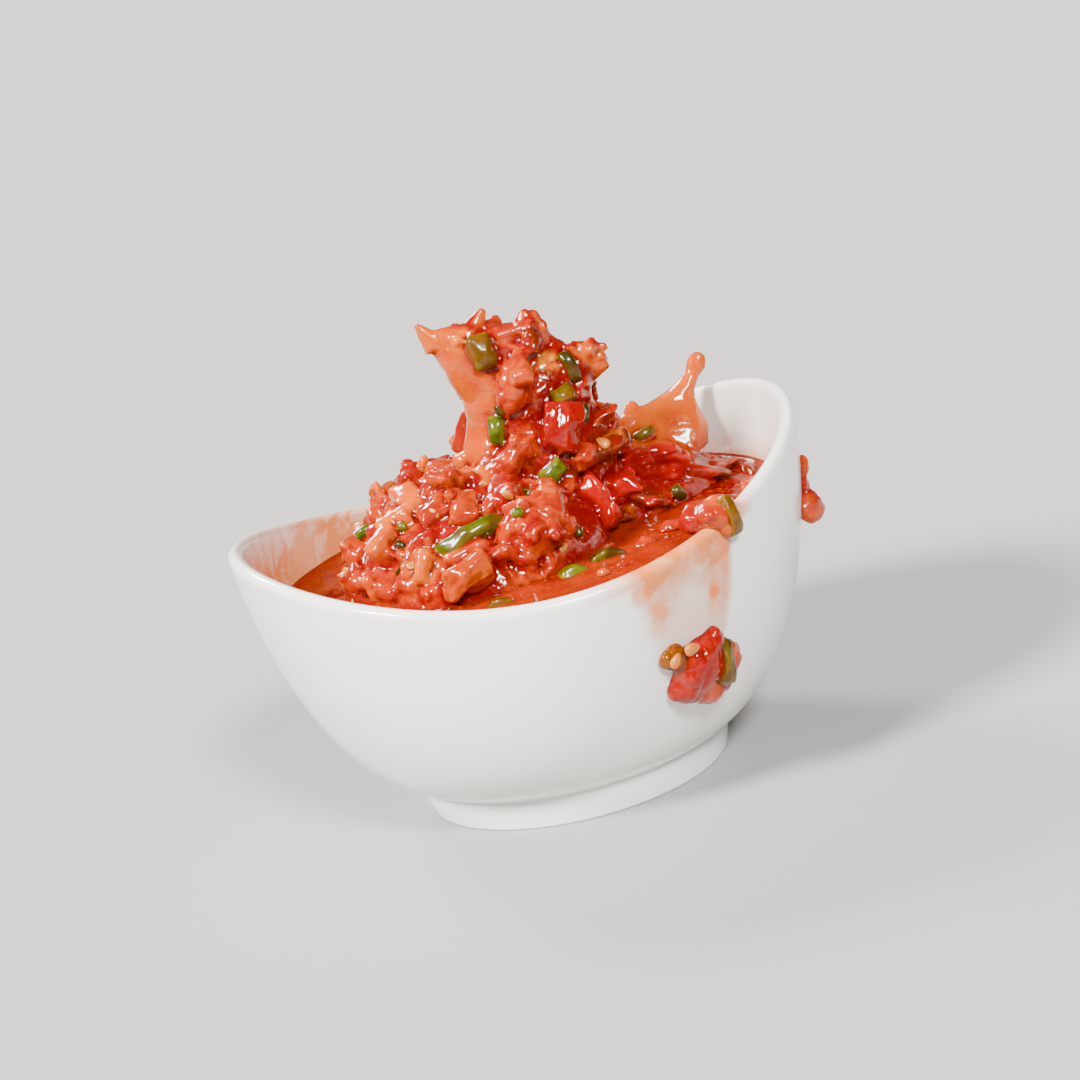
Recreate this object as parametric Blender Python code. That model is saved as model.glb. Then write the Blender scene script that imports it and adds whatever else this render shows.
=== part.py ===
"""A small white bowl of chunky tomato salsa, heaped up and splashed over its rim.

The bowl is turned ware on a low foot, and its rim is a saddle: two high lobes on
the X axis and two low sides on the Y axis. Everything below is in millimetres and
is turned to metres as each mesh is made. +Z is up, and the foot stands on z = 0.
"""
import math
import random

import bmesh
import bpy
from mathutils import Matrix, Vector, noise
from mathutils.bvhtree import BVHTree

MM = 0.001

# The bowl.
BOWL_RADIUS = 62.05
CURVE_TOP = 69.9
CURVE_DEPTH = 66.5
CURVE_POWER = 1.567
CURVE_ROUNDNESS = 4.2
WALL = 3.2
RIM_HEIGHT = 62.45
SADDLE = 6.7
RIM_LEAN = 2.25
FOOT_RADIUS = 33.0
FOOT_TOP_RADIUS = 34.4
FOOT_HEIGHT = 7.0
FOOT_WIDTH = 5.0
FOOT_RECESS = 3.6
FOOT_EDGE = 0.7
FOOT_SPLAY = 3.0
SPLAY_SHARE = 0.55
FLOOR_HEIGHT = 9.5
BOWL_SEGMENTS = 52
OUTER_RINGS = 8
OUTER_SPREAD = 1.35
INNER_RINGS = 7
INNER_SPREAD = 2.2
LIP_STEPS = 4

# The contents. They lie turned a little to the saddle, so their places are given
# in their own axes, x to the right and y away from the front, and turned at the end.
CONTENTS_TURN = math.radians(-10.46)
GAP = 0.3
SEAT_GAP = 0.36
ROOM_TO_WALL = 0.9
ROOM_TO_SAUCE = 0.6
SAUCE_LEVEL = 51.0
SAUCE_SLOPE = 0.035
SAUCE_RINGS = 3
SETTLING_STEPS = 3
POCKET_FLOOR = 46.0
SECOND_POCKET_FLOOR = 47.0
EYE = Vector((0.0, -622.4, 217.5))

# The mounds of thick salsa: centre and radii.
MOUNDS = (
    ((-10.0, 2.0, 50.0), (30.0, 33.0, 20.5)),
    ((18.0, 20.0, 50.0), (29.0, 24.0, 14.0)),
)
MOUND_RINGS = 7
MOUND_SIDES = 26
MOUND_ROUGHNESS = 2.2
MOUND_GRAIN = 9.0
ROUGH_FROM = 53.0
ROUGH_FULL = 58.0
# The torn peak and the splashed finger, level by level from the top down:
# height, left side, right side, middle in y, half the thickness.
PEAK_LEVELS = (
    (100.6, -10.4, 1.5, 4.0, 1.7),
    (98.3, -10.2, 12.5, 4.2, 3.4),
    (95.5, -8.8, 14.4, 4.5, 4.8),
    (92.0, -8.0, 16.4, 4.8, 6.0),
    (89.0, -7.4, 20.0, 5.0, 7.0),
    (85.0, -5.2, 22.4, 5.5, 8.3),
    (80.5, -5.6, 22.0, 6.0, 9.8),
    (76.5, -6.8, 21.9, 6.6, 11.0),
    (73.0, -9.0, 24.0, 7.2, 12.2),
    (67.0, -9.5, 25.0, 8.0, 14.0),
    (60.0, -10.0, 26.0, 9.0, 15.0),
)
FINGER_LEVELS = (
    (76.8, 45.5, 48.0, 32.6, 0.9),
    (75.6, 44.4, 48.6, 32.3, 1.3),
    (73.4, 43.6, 48.3, 32.0, 1.5),
    (72.3, 41.8, 47.0, 31.8, 1.7),
    (70.8, 39.2, 45.8, 31.2, 2.1),
    (69.2, 36.0, 44.8, 30.6, 2.6),
    (67.8, 26.5, 44.6, 30.0, 3.0),
    (65.5, 23.5, 44.8, 28.4, 3.8),
    (62.0, 22.0, 45.6, 27.2, 4.8),
    (58.0, 21.0, 44.6, 26.0, 6.0),
)
# Torn points of the peak and the finger, each from its root to its tip: place, half
# width and half thickness.
HORNS = (
    ((-8.2, 4.0, 97.5), 3.2, 2.4, (-11.6, 3.6, 103.4), 0.7, 0.6),
    ((-0.5, 4.0, 98.0), 4.0, 2.6, (3.0, 4.4, 103.2), 0.8, 0.6),
    ((10.6, 4.2, 95.5), 4.4, 3.0, (11.4, 3.6, 101.2), 0.9, 0.7),
    ((19.0, 5.0, 86.5), 5.0, 3.0, (26.8, 4.0, 89.3), 0.9, 0.8),
    ((20.5, 5.0, 84.6), 3.4, 2.8, (26.6, 4.4, 85.4), 1.2, 1.0),
    ((29.4, 29.6, 66.0), 3.0, 2.0, (30.6, 30.6, 70.2), 0.9, 0.7),
)
HORN_SIDES = 8
LEVEL_ROUGHNESS = 1.3
LEVEL_GRAIN = 7.0
LEVEL_SIDES = 14
TIP_RISE = 0.6
FULL_THICKNESS = 4.0

# Pieces that show on the heap: kind, where the line from EYE passes y = 0 (u across,
# w up), length, width and thickness, and the spin of the length in its own plane.
HEAP_PIECES = (
    ("gel", 2.5, 55.0, 21.0, 17.0, 9.0, 25.0),
    ("wedge", 16.4, 56.9, 13.0, 9.5, 7.0, -60.0),
    ("wedge", 28.7, 62.4, 19.5, 11.0, 8.0, 2.0),
    ("cube", 22.5, 58.5, 9.0, 7.0, 6.0, 10.0),
    ("gel", -0.2, 70.1, 17.0, 8.5, 7.0, 33.0),
    ("gel", 4.4, 72.7, 8.5, 6.0, 5.0, 40.0),
    ("gel", -13.8, 67.9, 13.0, 11.0, 7.0, 20.0),
    ("gel", -15.5, 73.6, 5.5, 5.0, 4.0, 60.0),
    ("gel", -9.8, 73.2, 6.0, 5.5, 4.5, 0.0),
    ("strip", -24.0, 63.7, 12.5, 6.0, 5.0, 17.0),
    ("gel", -29.0, 65.5, 7.5, 7.0, 5.0, 30.0),
    ("gel", -35.4, 58.4, 9.0, 7.0, 6.0, 10.0),
    ("gel", -28.8, 57.6, 9.5, 8.5, 6.0, 40.0),
    ("gel", -33.5, 52.0, 16.5, 7.0, 5.0, -9.0),
    ("strip", -22.2, 52.5, 7.5, 4.5, 4.0, 66.0),
    ("gel", -20.0, 58.6, 6.5, 5.0, 4.0, 30.0),
    ("cube", -13.6, 48.1, 12.0, 7.5, 7.0, 16.0),
    ("strip", -12.9, 53.4, 11.0, 4.5, 4.0, 10.0),
    ("gel", -5.7, 62.0, 7.0, 5.5, 4.0, 20.0),
    ("gel", -6.5, 51.0, 9.0, 6.0, 5.0, -10.0),
    ("gel", 11.5, 62.1, 5.5, 4.5, 4.0, 20.0),
    ("strip", 20.2, 68.3, 15.0, 6.0, 4.5, 16.0),
    ("strip", 44.4, 58.2, 10.5, 5.5, 4.0, -3.0),
    ("strip", 46.1, 61.8, 12.5, 4.2, 3.5, -8.0),
    ("strip", 28.1, 55.1, 11.0, 4.0, 4.0, -25.0),
    ("gel", 36.5, 61.0, 8.0, 5.0, 4.0, 70.0),
    ("pepper", 9.6, 66.2, 6.0, 4.8, 4.0, 31.0),
    ("pepper", -10.8, 56.9, 16.5, 4.2, 4.0, 17.0),
    ("pepper", -32.6, 62.7, 5.5, 2.6, 2.6, 17.0),
    ("pepper", 34.3, 55.1, 4.2, 3.2, 3.0, -70.0),
    ("pepper", 30.0, 69.2, 5.2, 2.7, 2.5, 16.0),
    ("gel", 6.2, 86.9, 16.5, 10.0, 8.0, 66.0),
    ("cube", 13.6, 74.9, 12.0, 9.5, 7.0, 71.0),
    ("pepper", 0.8, 94.9, 8.0, 6.0, 4.0, 96.0),
    ("pepper", -0.1, 77.9, 6.5, 3.8, 3.5, 86.0),
    ("pepper", 15.2, 81.6, 5.6, 5.0, 3.5, 20.0),
    ("pepper", 17.7, 87.6, 7.5, 3.2, 3.0, -74.0),
    ("pepper", 18.9, 76.9, 5.0, 1.8, 2.0, 80.0),
    ("wedge", 21.9, 75.0, 8.5, 5.0, 4.0, 20.0),
    ("gel", 9.2, 93.3, 7.0, 5.0, 4.0, 30.0),
    ("gel", 14.5, 90.0, 3.8, 2.8, 2.6, 20.0),
    ("gel", -3.5, 98.5, 5.0, 4.0, 3.0, -30.0),
)
# How far these pieces lean from the surface towards the eye, how unevenly they lie, and
# how far they stand out of the surface, as a share of their thickness.
FACING = 1.3
UNEVENNESS = 0.45
STAND_OUT = 0.15
NEAR_MISS_DEPTH = 5.0
LISTED_ROOM = 0.33
# Smaller cut pieces spread evenly over the rest of the heap and up the peak.
FILL_PIECES = 150
FILL_SPACING = 4.5
FILL_FROM = 54.0
FILL_TO = 88.0
FILL_MIDDLE = Vector((2.0, 8.0, 0.0))
FILL_CROWDING = 2.2
FILL_FALL = 0.45
FILL_LENGTHS = (8.0, 13.0)
FILL_WIDTHS = (6.0, 9.0)
FILL_THICKNESSES = (4.0, 6.0)
FILL_ROOM = 0.3
# The pieces on the peak, from this height up, are smaller by this share.
PEAK_FROM = 76.0
PEAK_SHARE = 0.68
# Places that stay smooth, each with its reach: the peak's left side and the finger's face.
BARE_PLACES = (
    (Vector((-6.0, -2.0, 87.0)), 8.0),
    (Vector((-8.0, 1.0, 97.0)), 6.0),
    (Vector((-8.0, 3.0, 78.0)), 8.5),
    (Vector((37.0, 26.0, 68.0)), 12.0),
)
GOLDEN_TURN = math.radians(137.508)

# Pieces that stand out of the sauce: kind, place, length, width, height, spin.
SAUCE_PIECES = (
    ("pepper", 15.6, -23.8, 8.0, 4.5, 3.4, 8.0),
    ("pepper", 8.0, -28.5, 6.5, 4.0, 3.0, 20.0),
    ("pepper", -7.5, -36.5, 6.0, 3.5, 2.6, 15.0),
    ("gel", 24.5, -21.5, 6.5, 4.5, 2.8, 20.0),
    ("gel", 31.5, -15.5, 9.0, 4.0, 2.6, 30.0),
    ("gel", 14.0, -36.0, 3.6, 3.0, 2.6, 0.0),
    ("gel", -44.5, -6.0, 8.0, 5.0, 2.8, 80.0),
    ("strip", 51.2, 12.0, 7.0, 4.0, 2.8, 80.0),
    ("strip", 50.0, -0.5, 8.0, 4.2, 2.8, 65.0),
    ("strip", 42.5, -9.5, 8.5, 4.2, 2.8, 38.0),
)

# Salsa that went over the rim and onto the outer wall: turn about the bowl, height,
# distance proud of the wall, and radii along the wall, out of it and up it.
RIM_BLOB = (
    (-52.6, 60.4, -4.6, (4.4, 3.6, 3.5)),
    (-50.4, 61.4, -1.6, (5.0, 4.2, 3.6)),
    (-49.3, 59.2, 0.5, (2.8, 1.8, 4.0)),
)
FRONT_SPLAT = (
    (-59.4, 32.6, 0.6, (6.8, 4.6, 6.2)),
    (-57.6, 27.2, 0.6, (5.0, 4.0, 4.6)),
    (-62.6, 29.2, 0.5, (4.6, 3.6, 4.6)),
    (-66.0, 35.8, 0.3, (3.4, 2.6, 2.8)),
    (-56.0, 35.2, 0.4, (3.8, 3.2, 4.0)),
    (-51.4, 31.0, 0.5, (3.2, 2.4, 4.2)),
    (-54.0, 26.8, 0.5, (3.6, 2.8, 3.8)),
)
SIDE_SPLAT = (
    (-8.4, 47.8, 1.3, (4.6, 3.4, 3.8)),
    (-7.6, 52.2, 0.4, (3.0, 1.8, 2.6)),
    (-7.0, 56.0, 0.3, (2.2, 1.6, 2.8)),
)
LUMP_RINGS = 7
LUMP_SIDES = 12
LUMP_ROUGHNESS = 1.1
LUMP_GRAIN = 6.0
# How much narrower each kind of cut piece is on top.
TAPERS = {"cube": 0.9, "wedge": 0.25, "strip": 0.7, "pepper": 0.85}
# How unevenly the pieces are cut, as shares of their half sizes.
CORNER_LENGTHS = (0.72, 1.0)
CORNER_WIDTHS = (0.75, 1.0)
END_SHIFTS = (-0.4, 0.4)
END_RISES = (-0.2, 0.3)
TOP_SHIFTS = (-0.3, 0.3)
TOP_CROWN = 1.3
GEL_RINGS = (5, 6, 5)
GEL_TURNS = (-0.25, 0.25)
GEL_PUFFS = (0.85, 1.05)
GEL_CROWN = 1.2
SHARP_ANGLE = math.radians(38.0)
SHORTEST_EDGE = 0.001
# The finishes: linear colour and roughness.
FINISHES = {
    "white_glaze": ((0.83, 0.83, 0.80), 0.12),
    "salsa_red": ((0.62, 0.06, 0.015), 0.2),
    "sauce_red": ((0.55, 0.07, 0.015), 0.1),
    "splat_red": ((0.65, 0.09, 0.02), 0.15),
}
NOISE_SEED = 3
PIECE_SEED = 11
SAUCE_SEED = 5


def outer_radius(height):
    """Outer radius of the turned wall at a height."""
    drop = max(CURVE_TOP - height, 0.0) / CURVE_DEPTH
    return BOWL_RADIUS * (1.0 - drop ** CURVE_POWER) ** (1.0 / CURVE_ROUNDNESS)


def hollow_radius(height):
    """Radius of the bowl's hollow, before it is blended into the lip."""
    drop = min(max(CURVE_TOP - height, 0.0) / (CURVE_TOP - FLOOR_HEIGHT), 1.0)
    return (BOWL_RADIUS - WALL) * (1.0 - drop ** CURVE_POWER) ** (1.0 / CURVE_ROUNDNESS)


def crest_height(turn):
    """Height of the rim's crest at a turn about Z."""
    return RIM_HEIGHT + SADDLE * math.cos(2.0 * turn) + RIM_LEAN * math.cos(turn)


def inner_radius(height, lip_height):
    """Radius of the inner wall, which meets the lip at lip_height."""
    share = max(height - FLOOR_HEIGHT, 0.0) / (lip_height - FLOOR_HEIGHT)
    step = outer_radius(lip_height) - WALL - hollow_radius(lip_height)
    return hollow_radius(height) + step * share ** 4


def bowl_profile(turn):
    """The bowl's section from the middle of the underside round to its floor."""
    lip_height = crest_height(turn) - WALL / 2.0
    inner_foot = FOOT_RADIUS - FOOT_WIDTH
    points = [
        (inner_foot - FOOT_SPLAY, FOOT_RECESS),
        (inner_foot, FOOT_RECESS * SPLAY_SHARE),
        (inner_foot + FOOT_EDGE, 0.0),
        (FOOT_RADIUS - FOOT_EDGE, 0.0),
        (FOOT_RADIUS, FOOT_EDGE),
        (FOOT_TOP_RADIUS, FOOT_HEIGHT),
    ]
    for ring in range(1, OUTER_RINGS + 1):
        share = (ring / OUTER_RINGS) ** OUTER_SPREAD
        height = FOOT_HEIGHT + (lip_height - FOOT_HEIGHT) * share
        points.append((outer_radius(height), height))
    middle = outer_radius(lip_height) - WALL / 2.0
    for step in range(1, LIP_STEPS + 1):
        angle = math.pi * step / LIP_STEPS
        points.append((middle + WALL / 2.0 * math.cos(angle),
                       lip_height + WALL / 2.0 * math.sin(angle)))
    for ring in range(INNER_RINGS - 1, 0, -1):
        share = (ring / INNER_RINGS) ** INNER_SPREAD
        height = FLOOR_HEIGHT + (lip_height - FLOOR_HEIGHT) * share
        points.append((inner_radius(height, lip_height), height))
    return points, FOOT_RECESS, FLOOR_HEIGHT


def sauce_level(x):
    """Height of the sauce, which stands a little higher on the right."""
    return SAUCE_LEVEL + SAUCE_SLOPE * x


def sauce_profile(turn):
    """The sauce's section from the bowl's floor up the wall and in over its top."""
    lip_height = crest_height(turn) - WALL / 2.0
    own_turn = turn - CONTENTS_TURN
    points = []
    top = SAUCE_LEVEL
    for _ in range(SETTLING_STEPS):
        radius = inner_radius(top - GAP, lip_height) - GAP
        top = sauce_level(radius * math.cos(own_turn))
    for ring in range(1, INNER_RINGS + 1):
        share = (ring / INNER_RINGS) ** INNER_SPREAD
        height = FLOOR_HEIGHT + SEAT_GAP + (top - FLOOR_HEIGHT - SEAT_GAP) * share
        points.append((inner_radius(height - SEAT_GAP, lip_height) - SEAT_GAP, height))
    edge = points[-1][0]
    for ring in range(SAUCE_RINGS - 1, 0, -1):
        radius = edge * ring / SAUCE_RINGS
        points.append((radius, sauce_level(radius * math.cos(own_turn))))
    return points, FLOOR_HEIGHT + SEAT_GAP, SAUCE_LEVEL


def turned_mesh(profile):
    """Closed mesh of a section that may change with the turn about Z."""
    mesh = bmesh.new()
    rings = []
    for segment in range(BOWL_SEGMENTS):
        turn = 2.0 * math.pi * segment / BOWL_SEGMENTS
        points, first, last = profile(turn)
        rings.append([mesh.verts.new((r * math.cos(turn), r * math.sin(turn), z)) for r, z in points])
    start = mesh.verts.new((0.0, 0.0, first))
    end = mesh.verts.new((0.0, 0.0, last))
    for segment in range(BOWL_SEGMENTS):
        here = rings[segment]
        there = rings[(segment + 1) % BOWL_SEGMENTS]
        mesh.faces.new((start, there[0], here[0]))
        for low in range(len(here) - 1):
            mesh.faces.new((here[low], there[low], there[low + 1], here[low + 1]))
        mesh.faces.new((here[-1], there[-1], end))
    return mesh


def ellipsoid_points(radii):
    """Rows of points on an ellipsoid, and its two ends."""
    rows = []
    for ring in range(1, LUMP_RINGS):
        polar = math.pi * ring / LUMP_RINGS
        row = []
        for side in range(LUMP_SIDES):
            turn = 2.0 * math.pi * (side + 0.5 * (ring % 2)) / LUMP_SIDES
            row.append(Vector((radii[0] * math.sin(polar) * math.cos(turn),
                               radii[1] * math.sin(polar) * math.sin(turn),
                               radii[2] * math.cos(polar))))
        rows.append(row)
    return rows, (Vector((0.0, 0.0, radii[2])), Vector((0.0, 0.0, -radii[2])))


def closed_rows(rows, ends):
    """Closed mesh through rows of points from the top end to the bottom end."""
    mesh = bmesh.new()
    levels = [[mesh.verts.new(p) for p in row] for row in rows]
    top = mesh.verts.new(ends[0])
    bottom = mesh.verts.new(ends[1])
    count = len(levels[0])
    for i in range(count):
        j = (i + 1) % count
        mesh.faces.new((top, levels[0][i], levels[0][j]))
        for upper, lower in zip(levels, levels[1:]):
            mesh.faces.new((upper[i], lower[i], lower[j], upper[j]))
        mesh.faces.new((levels[-1][j], levels[-1][i], bottom))
    bmesh.ops.recalc_face_normals(mesh, faces=mesh.faces)
    return mesh


def ragged(point, roughness, grain):
    """The point pushed about by a smooth noise, for the salsa's uneven surface."""
    return point + noise.noise_vector(point / grain) * roughness


def lump_mesh(radii):
    """A rounded body of thick salsa with an uneven surface."""
    rows, ends = ellipsoid_points(radii)
    rows = [[ragged(p, LUMP_ROUGHNESS, LUMP_GRAIN) for p in row] for row in rows]
    return closed_rows(rows, ends)


def mound_mesh(centre, radii, floor, grow=0.0):
    """A dome with a flat underside at the floor, grown outward by a clearance.

    A dome that isn't grown is uneven above the sauce.
    """
    rows = []
    wide = Vector(radii) + Vector((grow, grow, grow))
    lowest = math.acos(max((floor - grow - centre[2]) / wide.z, -1.0))
    for ring in range(1, MOUND_RINGS + 1):
        polar = lowest * ring / MOUND_RINGS
        row = []
        for side in range(MOUND_SIDES):
            turn = 2.0 * math.pi * side / MOUND_SIDES
            row.append(Vector((centre[0] + wide.x * math.sin(polar) * math.cos(turn),
                               centre[1] + wide.y * math.sin(polar) * math.sin(turn),
                               centre[2] + wide.z * math.cos(polar))))
        rows.append(row)
    if grow == 0.0:
        rows = [[uneven(p) for p in row] for row in rows]
    ends = (Vector((centre[0], centre[1], centre[2] + wide.z)),
            Vector((centre[0], centre[1], floor - grow)))
    return closed_rows(rows, ends)


def uneven(point):
    """A point of a mound, roughened only where it is clear of the sauce."""
    share = min(max((point.z - ROUGH_FROM) / (ROUGH_FULL - ROUGH_FROM), 0.0), 1.0)
    return ragged(point, MOUND_ROUGHNESS * share, MOUND_GRAIN)


def level_points(level):
    """A closed ring of points round one level of the peak or the finger."""
    height, left, right, middle, thick = level
    points = []
    for side in range(LEVEL_SIDES):
        turn = 2.0 * math.pi * side / LEVEL_SIDES
        points.append(Vector(((left + right) / 2.0 + (right - left) / 2.0 * math.cos(turn),
                              middle + thick * math.sin(turn), height)))
    return points


def levels_mesh(levels):
    """A closed body through levels that are listed from the top down."""
    rows = []
    for level in levels:
        roughness = LEVEL_ROUGHNESS * min(level[4] / FULL_THICKNESS, 1.0)
        rows.append([ragged(p, roughness, LEVEL_GRAIN) for p in level_points(level)])
    ends = [sum(row, Vector()) / len(row) for row in (rows[0], rows[-1])]
    ends[0].z += levels[0][4] * TIP_RISE
    return closed_rows(rows, ends)


def horn_points(horn):
    """Two rings of points round the root and the tip of a torn point."""
    points = []
    root, tip = Vector(horn[0]), Vector(horn[3])
    along = (tip - root).normalized()
    deep = Vector((0.0, 1.0, 0.0))
    wide = deep.cross(along).normalized()
    for middle, half_width, half_thick in ((root, *horn[1:3]), (tip, *horn[4:])):
        for side in range(HORN_SIDES):
            turn = 2.0 * math.pi * side / HORN_SIDES
            points.append(middle + wide * half_width * math.cos(turn) + deep * half_thick * math.sin(turn))
    return points


def hull_mesh(points):
    """Closed convex mesh round points."""
    mesh = bmesh.new()
    for point in points:
        mesh.verts.new(point)
    hull = bmesh.ops.convex_hull(mesh, input=mesh.verts)
    spare = {v for v in hull["geom_interior"] + hull["geom_unused"] if isinstance(v, bmesh.types.BMVert)}
    bmesh.ops.delete(mesh, geom=list(spare), context="VERTS")
    bmesh.ops.recalc_face_normals(mesh, faces=mesh.faces)
    return mesh


def heap_hit(core, u, w):
    """Where the line from EYE through (u, 0, w) meets the core, or all but meets it.

    Returns the place and the direction out of the surface there.
    """
    goal = Vector((u, 0.0, w))
    way = (goal - EYE).normalized()
    place, out, _, _ = core.ray_cast(EYE, way)
    if place is None:
        place, out, _, _ = core.find_nearest(goal + way * NEAR_MISS_DEPTH)
    return place, out


def surface_axes(out, spin):
    """Length, width and thickness directions of a piece lying on a surface."""
    across = Vector((1.0, 0.0, 0.0)) - out * out.x
    across.normalize()
    up = out.cross(across)
    angle = math.radians(spin)
    length = across * math.cos(angle) + up * math.sin(angle)
    return length, out.cross(length), out


def piece_points(kind, spot, axes, size, draw):
    """Corner points of one cut piece: rounded pulp, wedge, dice, strip or pepper."""
    length, width, thick = (0.5 * s for s in size)
    points = []
    if kind in TAPERS:
        for a in (-1, 1):
            for b in (-1, 1):
                for c in (-1, 1):
                    lean = TAPERS[kind] if c > 0 else 1.0
                    along = a * length * draw.uniform(*CORNER_LENGTHS)
                    points.append((along, b * width * lean * draw.uniform(*CORNER_WIDTHS), c * thick))
        for a in (-1, 1):
            points.append((a * length, draw.uniform(*END_SHIFTS) * width, draw.uniform(*END_RISES) * thick))
        points.append((draw.uniform(*TOP_SHIFTS) * length, 0.0, thick * TOP_CROWN))
    else:
        for ring, count in enumerate(GEL_RINGS, start=1):
            polar = math.pi * ring / (len(GEL_RINGS) + 1)
            for step in range(count):
                turn = 2.0 * math.pi * (step + draw.uniform(*GEL_TURNS)) / count
                puff = draw.uniform(*GEL_PUFFS)
                points.append((length * puff * math.sin(polar) * math.cos(turn),
                               width * puff * math.sin(polar) * math.sin(turn),
                               thick * puff * math.cos(polar) * GEL_CROWN))
        points.append((draw.uniform(*TOP_SHIFTS) * length, draw.uniform(*TOP_SHIFTS) * width,
                       thick * GEL_CROWN))
    return [spot + axes[0] * a + axes[1] * b + axes[2] * c for a, b, c in points]


def kept_clear(point):
    """The point lifted out of the sauce and drawn in from the bowl's wall."""
    reach = math.hypot(point.x, point.y)
    turn = math.atan2(point.y, point.x) + CONTENTS_TURN
    lip_height = crest_height(turn) - WALL / 2.0
    room = inner_radius(min(point.z, lip_height), lip_height) - ROOM_TO_WALL
    if reach > room:
        point = Vector((point.x * room / reach, point.y * room / reach, point.z))
    lowest = sauce_level(point.x) + ROOM_TO_SAUCE
    return Vector((point.x, point.y, max(point.z, lowest)))


def new_object(mesh, name, material=None):
    """Object of a mesh in millimetres, in metres."""
    bmesh.ops.scale(mesh, vec=(MM, MM, MM), verts=mesh.verts)
    data = bpy.data.meshes.new(name)
    mesh.to_mesh(data)
    mesh.free()
    data.shade_smooth()
    data.set_sharp_from_angle(angle=SHARP_ANGLE)
    thing = bpy.data.objects.new(name, data)
    bpy.context.scene.collection.objects.link(thing)
    if material is not None:
        data.materials.append(material)
    return thing


def combine(body, others, operation, solver="MANIFOLD"):
    """Join others to the body or cut them from it, apply it and remove the others."""
    group = bpy.data.collections.new(body.name + "_pieces")
    for other in others:
        bpy.context.scene.collection.objects.unlink(other)
        group.objects.link(other)
    bpy.context.scene.collection.children.link(group)
    step = body.modifiers.new("combine", "BOOLEAN")
    step.operation = operation
    step.solver = solver
    step.operand_type = "COLLECTION"
    step.collection = group
    view = bpy.context.evaluated_depsgraph_get()
    result = bpy.data.meshes.new_from_object(body.evaluated_get(view))
    body.modifiers.clear()
    body.data = result
    for other in others:
        bpy.data.objects.remove(other)
    bpy.data.collections.remove(group)


def keep_largest(body):
    """Drop loose scraps and sealed hollows, and merge points that all but touch."""
    mesh = bmesh.new()
    mesh.from_mesh(body.data)
    bmesh.ops.remove_doubles(mesh, verts=mesh.verts, dist=SHORTEST_EDGE * MM)
    bmesh.ops.dissolve_degenerate(mesh, edges=mesh.edges, dist=SHORTEST_EDGE * MM)
    bmesh.ops.triangulate(mesh, faces=mesh.faces)
    left = set(mesh.verts)
    shells = []
    while left:
        reached = {left.pop()}
        edge_of_search = list(reached)
        while edge_of_search:
            vert = edge_of_search.pop()
            for edge in vert.link_edges:
                other = edge.other_vert(vert)
                if other in left:
                    left.discard(other)
                    reached.add(other)
                    edge_of_search.append(other)
        shells.append(reached)
    shells.sort(key=len)
    for shell in shells[:-1]:
        bmesh.ops.delete(mesh, geom=list(shell), context="VERTS")
    mesh.to_mesh(body.data)
    mesh.free()


def turn_contents(body):
    """Turn a body of the contents from its own axes to the bowl's."""
    body.data.transform(Matrix.Rotation(CONTENTS_TURN, 4, "Z"))


def principled(name):
    """Plain material with the colour and the roughness of a finish."""
    colour, roughness = FINISHES[name]
    material = bpy.data.materials.new(name)
    material.use_nodes = True
    shader = material.node_tree.nodes["Principled BSDF"]
    shader.inputs["Base Color"].default_value = (*colour, 1.0)
    shader.inputs["Roughness"].default_value = roughness
    material.diffuse_color = (*colour, 1.0)
    return material


def heap_core(material):
    """The mounds, the peak and the finger of thick salsa, joined into one body."""
    first, second = MOUNDS
    core = new_object(mound_mesh(*first, POCKET_FLOOR), "salsa", material)
    parts = [new_object(mound_mesh(*second, SECOND_POCKET_FLOOR), "mound"),
             new_object(levels_mesh(PEAK_LEVELS), "peak"),
             new_object(levels_mesh(FINGER_LEVELS), "finger")]
    parts += [new_object(hull_mesh(horn_points(horn)), "horn") for horn in HORNS]
    combine(core, parts, "UNION")
    return core


def core_tree(core):
    """Search tree of the core's surface, in millimetres."""
    points = [v.co / MM for v in core.data.vertices]
    return BVHTree.FromPolygons(points, [tuple(face.vertices) for face in core.data.polygons])


def listed_pieces(tree, draw):
    """The cut tomato, pepper and onion that show on the front of the heap."""
    pieces = []
    places = []
    for kind, u, w, length, width, thick, spin in HEAP_PIECES:
        spot, out = heap_hit(tree, u, w)
        shift = Vector([draw.uniform(-UNEVENNESS, UNEVENNESS) for _ in range(3)])
        out = (out + (EYE - spot).normalized() * FACING + shift).normalized()
        spot = spot + out * STAND_OUT * thick
        points = piece_points(kind, spot, surface_axes(out, spin), (length, width, thick), draw)
        pieces.append(new_object(hull_mesh([kept_clear(p) for p in points]), "piece"))
        places.append((spot, LISTED_ROOM * length))
    return pieces, places


def fill_pieces(tree, places, draw):
    """Smaller pieces on a spiral round the heap, where no listed piece lies."""
    pieces = []
    places = places + list(BARE_PLACES)
    for number in range(FILL_PIECES):
        share = (number + 0.5) / FILL_PIECES
        turn = number * GOLDEN_TURN
        height = FILL_FROM + (FILL_TO - FILL_FROM) * share ** FILL_CROWDING
        way = Vector((-math.cos(turn), -math.sin(turn), -FILL_FALL)).normalized()
        start = FILL_MIDDLE + Vector((0.0, 0.0, height)) - way * 2.0 * BOWL_RADIUS
        spot, out, _, _ = tree.ray_cast(start, way)
        if spot is None or any((spot - other).length < room + FILL_SPACING / 2.0 for other, room in places):
            continue
        scale = PEAK_SHARE if spot.z > PEAK_FROM else 1.0
        ranges = (FILL_LENGTHS, FILL_WIDTHS, FILL_THICKNESSES)
        size = tuple(scale * draw.uniform(*limits) for limits in ranges)
        kind = draw.choice(("gel", "wedge", "cube", "strip"))
        axes = surface_axes(out, draw.uniform(0.0, 180.0))
        points = piece_points(kind, spot, axes, size, draw)
        pieces.append(new_object(hull_mesh([kept_clear(p) for p in points]), "piece"))
        places.append((spot, FILL_ROOM * size[0]))
    return pieces


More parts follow.
